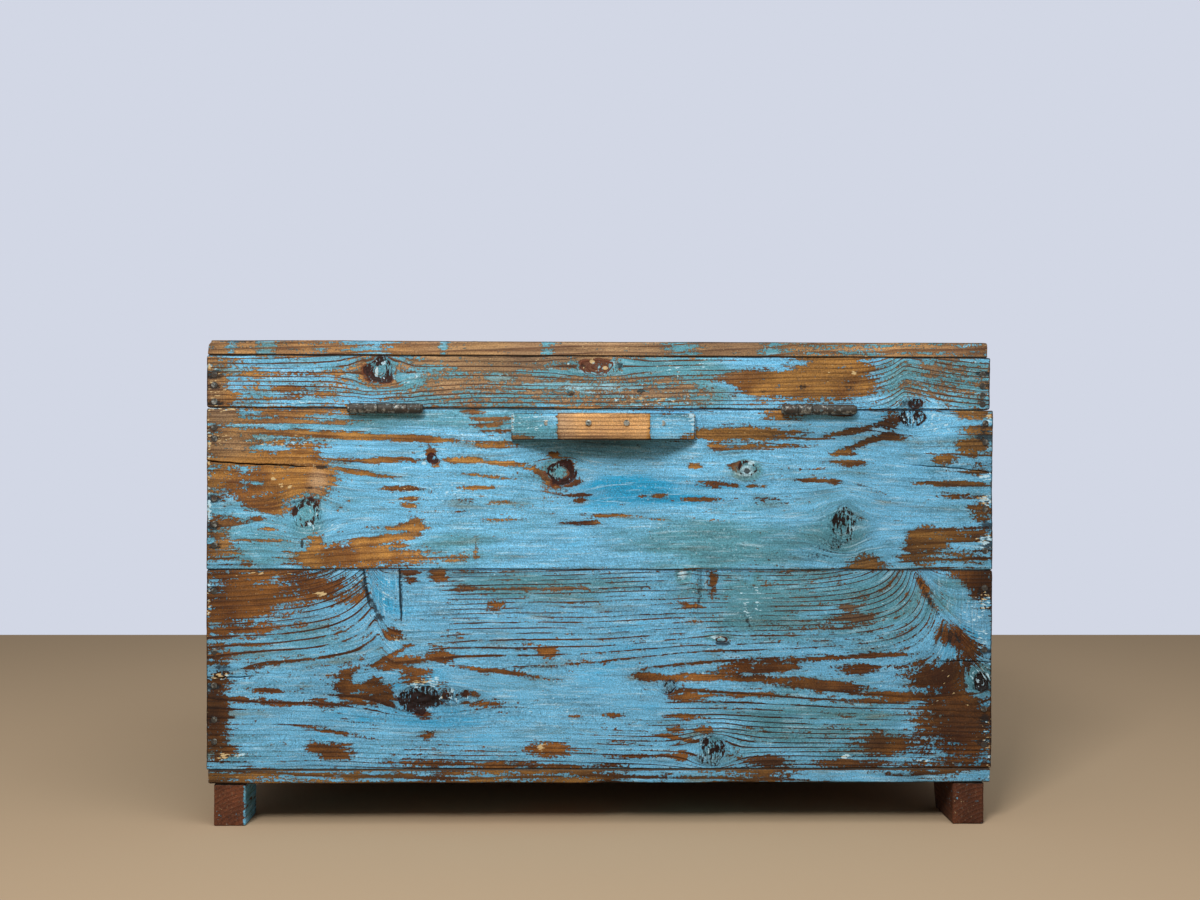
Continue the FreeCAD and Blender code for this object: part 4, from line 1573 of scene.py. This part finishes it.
def taper_stop(points, low, high):
    """Thins the block towards both ends."""
    middle = (low[0] + high[0]) / 2
    half = (high[0] - low[0]) / 2
    beyond = np.maximum(np.abs(points[:, 0] - middle) / half - STOP_FLAT_SHARE, 0)
    share = 1 - (1 - STOP_END_SHARE) * beyond / (1 - STOP_FLAT_SHARE)
    points[:, 2] = low[2] + (points[:, 2] - low[2]) * share
    return points


lid_stop = Looks(
    paint=1.02,
    pith=(0.03, 0.02, 0.0),
    ring=4.0 * MM,
    patches=[
        strip(*BARE_ON_STOP, 426, 90, -0.6, soft=CLEAN_LINE),
        strip(508, 530, 437, 3.4, 0.4),
        strip(680, 700, 436, 3.4, 0.45),
    ],
    tones=[
        Patch(530, 425, 30, 20, -0.8),
        Patch(675, 425, 30, 20, -0.1),
        strip(*BARE_ON_STOP, 424, 40, -0.58, soft=CLEAN_LINE),
    ],
    aged_and_shaded=[
        strip(*BARE_ON_STOP, 424, 60, -0.64, soft=CLEAN_LINE),
        # Painted shade on the block's underside and lower edge
        strip(*WHOLE_STOP, 440, 4, 0.8),
        Patch(532, 424, 24, 20, 0.22),
    ],
    calm=[strip(*WHOLE_STOP, 424, 40, 0.8)],
    stains=[strip(*WHOLE_STOP, 440, 2.6, 0.35), Patch(648, 425, 2, 14, 0.4)],
    chips=[
        Patch(512, 420, 3, 14, 0.5),
        Patch(692, 420, 3, 14, 0.5),
        Patch(690, 414, 8, 3, 0.4),
        Patch(535, 422, 20, 10, 0.3),
        Patch(670, 422, 20, 10, 0.3),
    ],
)

# The feet. The rear right one is longer, its inner end slopes, and it keeps this share of its
# length on the floor. The left feet have paint on their inner sides, at this many steps from
# their middle.
LONG_FOOT_SHARE = 98 / 121.2
FOOT_INNER_DOWN = -15.7
FOOT_SPACING = 4 * MM


def slope_long_foot(points, low, high):
    """Slopes the inner end of the long foot: shorter on the floor than at its top."""
    rise = (points[:, 2] - low[2]) / (high[2] - low[2])
    reach = LONG_FOOT_SHARE + (1 - LONG_FOOT_SHARE) * rise
    points[:, 0] = low[0] + (points[:, 0] - low[0]) * reach
    return points


# The woods
painted_wood = weathered_wood("painted_wood")
redder_painted_wood = weathered_wood("redder_painted_wood", *REDDER_WOOD)
foot_wood = weathered_wood("foot_wood", *FOOT_WOOD)
bare_wood = weathered_wood("bare_wood", *INSIDE_WOOD)

# Where the seeds of each kind of board start
PHOTOGRAPHED_SEED = 1
OTHERS_SEED = 20
FEET_SEED = 50
BATTEN_SEED = 60

# The photographed boards, whose grid is finer than that of the others
FINE = 3.2 * MM
PHOTOGRAPHED = {
    "rear_wall_upper_board": upper_board,
    "rear_wall_lower_board": lower_board,
    "lid_rear_rail": lid_rail,
    "lid_stop_block": lid_stop,
}
for seed, (node, looks) in enumerate(PHOTOGRAPHED.items(), PHOTOGRAPHED_SEED):
    shape = taper_stop if node == "lid_stop_block" else None
    board = Board(node, 0, 1, -1, looks, seed, photographed=True, spacing=FINE, shape=shape)
    finish = redder_painted_wood if node == "rear_wall_lower_board" else painted_wood
    board.build(finish)

lid_edge = [
    edge_patch(*ALL_ALONG, 0.08),
    edge_patch(233, 4, 0.8),
    edge_patch(268, 10, 0.67),
    edge_patch(330, 26, 0.39),
    edge_patch(373, 24, 0.73),
    edge_patch(443, 4, 0.85),
    edge_patch(545, 6, 0.85),
    edge_patch(680, 18, 0.71),
    edge_patch(772, 14, 0.55),
    edge_patch(826, 46, 0.52),
    edge_patch(874, 10, 0.65),
    edge_patch(945, 48, 0.4),
]
bottom_edge = [
    edge_patch(*ALL_ALONG, 0.36),
    edge_patch(370, 70, 0.55),
    edge_patch(500, 60, 0.47),
    edge_patch(640, 18, 0.67),
    edge_patch(692, 34, 0.77),
    edge_patch(850, 66, 1.0),
    edge_patch(944, 50, 0.67),
]

# The others: node, axis of the grain, axis and side of the main face, paint left
OTHERS = [
    ("front_wall_upper_board", 0, 1, 1, 0.78),
    ("front_wall_lower_board", 0, 1, 1, 0.76),
    ("left_wall_upper_board", 1, 0, -1, 0.76),
    ("left_wall_lower_board", 1, 0, -1, 0.74),
    ("right_wall_upper_board", 1, 0, 1, 0.74),
    ("right_wall_lower_board", 1, 0, 1, 0.78),
    ("lid_front_rail", 0, 1, 1, 0.7),
    ("lid_left_rail", 1, 0, -1, 0.68),
    ("lid_right_rail", 1, 0, 1, 0.7),
    ("lid_plank_rear", 0, 2, 1, 0.64),
    ("lid_plank_middle", 0, 2, 1, 0.62),
    ("lid_plank_front", 0, 2, 1, 0.64),
    ("bottom_plank_rear", 0, 2, -1, 0.1),
    ("bottom_plank_middle", 0, 2, -1, 0.0),
    ("bottom_plank_front", 0, 2, -1, 0.1),
]
EDGES = {"lid_plank_rear": lid_edge, "bottom_plank_rear": bottom_edge}
for seed, (node, along, out, side, paint) in enumerate(OTHERS, OTHERS_SEED):
    low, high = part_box(node)
    size = [b - a for a, b in zip(low, high)]
    looks = other_looks(size[along], size[3 - along - out], seed, paint, EDGES.get(node, ()))
    if node == "bottom_plank_rear":
        looks.notches = [edge_patch(607, 9, 4 * MM, 6)]
        looks.aged_and_shaded.append(edge_patch(*FAR_PAST_BOTH_ENDS, 0.45))
        looks.tones.append(edge_patch(*FAR_PAST_BOTH_ENDS, 0.1))
    if node == "lid_plank_rear":
        looks.notches = [edge_patch(205, 7, 7 * MM, 30)]
        looks.aged_and_shaded.append(edge_patch(*FAR_PAST_BOTH_ENDS, -0.28))
        looks.tones.append(edge_patch(*FAR_PAST_BOTH_ENDS, -0.8))
        looks.stains.append(edge_patch(241, 20, 0.35))
    Board(node, along, out, side, looks, seed).build(painted_wood)

FEET = ("foot_rear_left", "foot_rear_right", "foot_front_left", "foot_front_right")
for seed, node in enumerate(FEET, FEET_SEED):
    looks = Looks(
        paint=0.05,
        patches=[Patch(0, FOOT_INNER_DOWN, 60, 2.4, 0.85)] if "left" in node else [],
        tones=[Patch(0, 0, 90, 60, -0.2)],
        aged_and_shaded=[Patch(0, 0, 60, 40, 0.4 if "right" in node else 0.12)],
        calm=[Patch(0, 0, 90, 60, 0.8)],
        pith=(0.03, 0.09, 0.0),
    )
    shape = slope_long_foot if node == "foot_rear_right" else None
    foot = Board(node, 1, 2, 1, looks, seed, spacing=FOOT_SPACING, bare=(2, 1), shape=shape)
    foot.build(foot_wood)

# The batten inside the lid, which was never painted
BATTEN_LENGTH = 0.5
BATTEN_WIDTH = 0.06
NO_PAINT = -0.5

looks = other_looks(BATTEN_LENGTH, BATTEN_WIDTH, BATTEN_SEED, NO_PAINT)
looks.patches = []
looks.chips = []
Board("lid_batten", 1, 2, -1, looks, BATTEN_SEED).build(bare_wood)

# Ironwork
ironwork = iron("hinge_iron")
worn_iron = iron("worn_screw_heads", dull=0.36, bright=WORN_SCREW)
for node, piece in frame["nodes"].items():
    if "hinge" in node or "nails" in node or "screws" in node:
        for slot in piece.material_slots:
            slot.material = worn_iron if node == "lid_stop_screws" else ironwork

# Stage: a plain floor that ends behind the trunk
FLOOR_END = rear_face + 2.0
FLOOR_REACH = 8.0

stage = Graph("floor")
stage.node_output(stage.node("ShaderNodeBsdfDiffuse", None, {"Color": FLOOR}))
mesh = bpy.data.meshes.new("floor")
corners = [
    (-FLOOR_REACH, -FLOOR_REACH, 0),
    (FLOOR_REACH, -FLOOR_REACH, 0),
    (FLOOR_REACH, FLOOR_END, 0),
    (-FLOOR_REACH, FLOOR_END, 0),
]
mesh.from_pydata(corners, [], [(0, 1, 2, 3)])
mesh.materials.append(stage.material)
floor = bpy.data.objects.new("floor", mesh)
bpy.context.collection.objects.link(floor)

# A pale wall to the camera and a soft even light to everything else
ROOM_LIGHT_STRENGTH = 0.25

world = bpy.data.worlds.new("studio")
world.use_nodes = True
tree = world.node_tree
fill = tree.nodes["Background"]
fill.inputs["Color"].default_value = ROOM_LIGHT
fill.inputs["Strength"].default_value = ROOM_LIGHT_STRENGTH
wall = tree.nodes.new("ShaderNodeBackground")
wall.inputs["Color"].default_value = WALL
seen = tree.nodes.new("ShaderNodeLightPath")
choice = tree.nodes.new("ShaderNodeMixShader")
tree.links.new(seen.outputs["Is Camera Ray"], choice.inputs[0])
tree.links.new(fill.outputs[0], choice.inputs[1])
tree.links.new(wall.outputs[0], choice.inputs[2])
tree.links.new(choice.outputs[0], tree.nodes["World Output"].inputs["Surface"])
bpy.context.scene.world = world


# Two lamps, high in front of the photographed side
MIDDLE_OF_TRUNK = (0, 0, 0.3)
WARM = (1, 0.98, 0.95)
COOL = (0.97, 0.99, 1)


def area_light(name, place, size, power, tint):
    """A square lamp that looks at the middle of the trunk."""
    lamp = bpy.data.lights.new(name, "AREA")
    lamp.size = size
    lamp.energy = power
    lamp.color = tint
    lamp_object = bpy.data.objects.new(name, lamp)
    lamp_object.location = place
    aim = Vector(MIDDLE_OF_TRUNK) - Vector(place)
    lamp_object.rotation_euler = aim.to_track_quat("-Z", "Y").to_euler()
    bpy.context.collection.objects.link(lamp_object)


area_light("key", place=(-0.9, -3.1, 2.7), size=0.9, power=96, tint=WARM)
area_light("top", place=(0.5, -1.7, 3.4), size=2.4, power=60, tint=COOL)

# The camera stands where the photograph was taken from
camera = bpy.data.cameras.new("camera")
camera.sensor_width = SENSOR
camera.lens = SENSOR * FOCAL_PIXELS / PHOTO_WIDE
camera_object = bpy.data.objects.new("camera", camera)
camera_object.matrix_world = camera_matrix
bpy.context.collection.objects.link(camera_object)
bpy.context.scene.camera = camera_object
bpy.context.scene.view_settings.view_transform = "Standard"
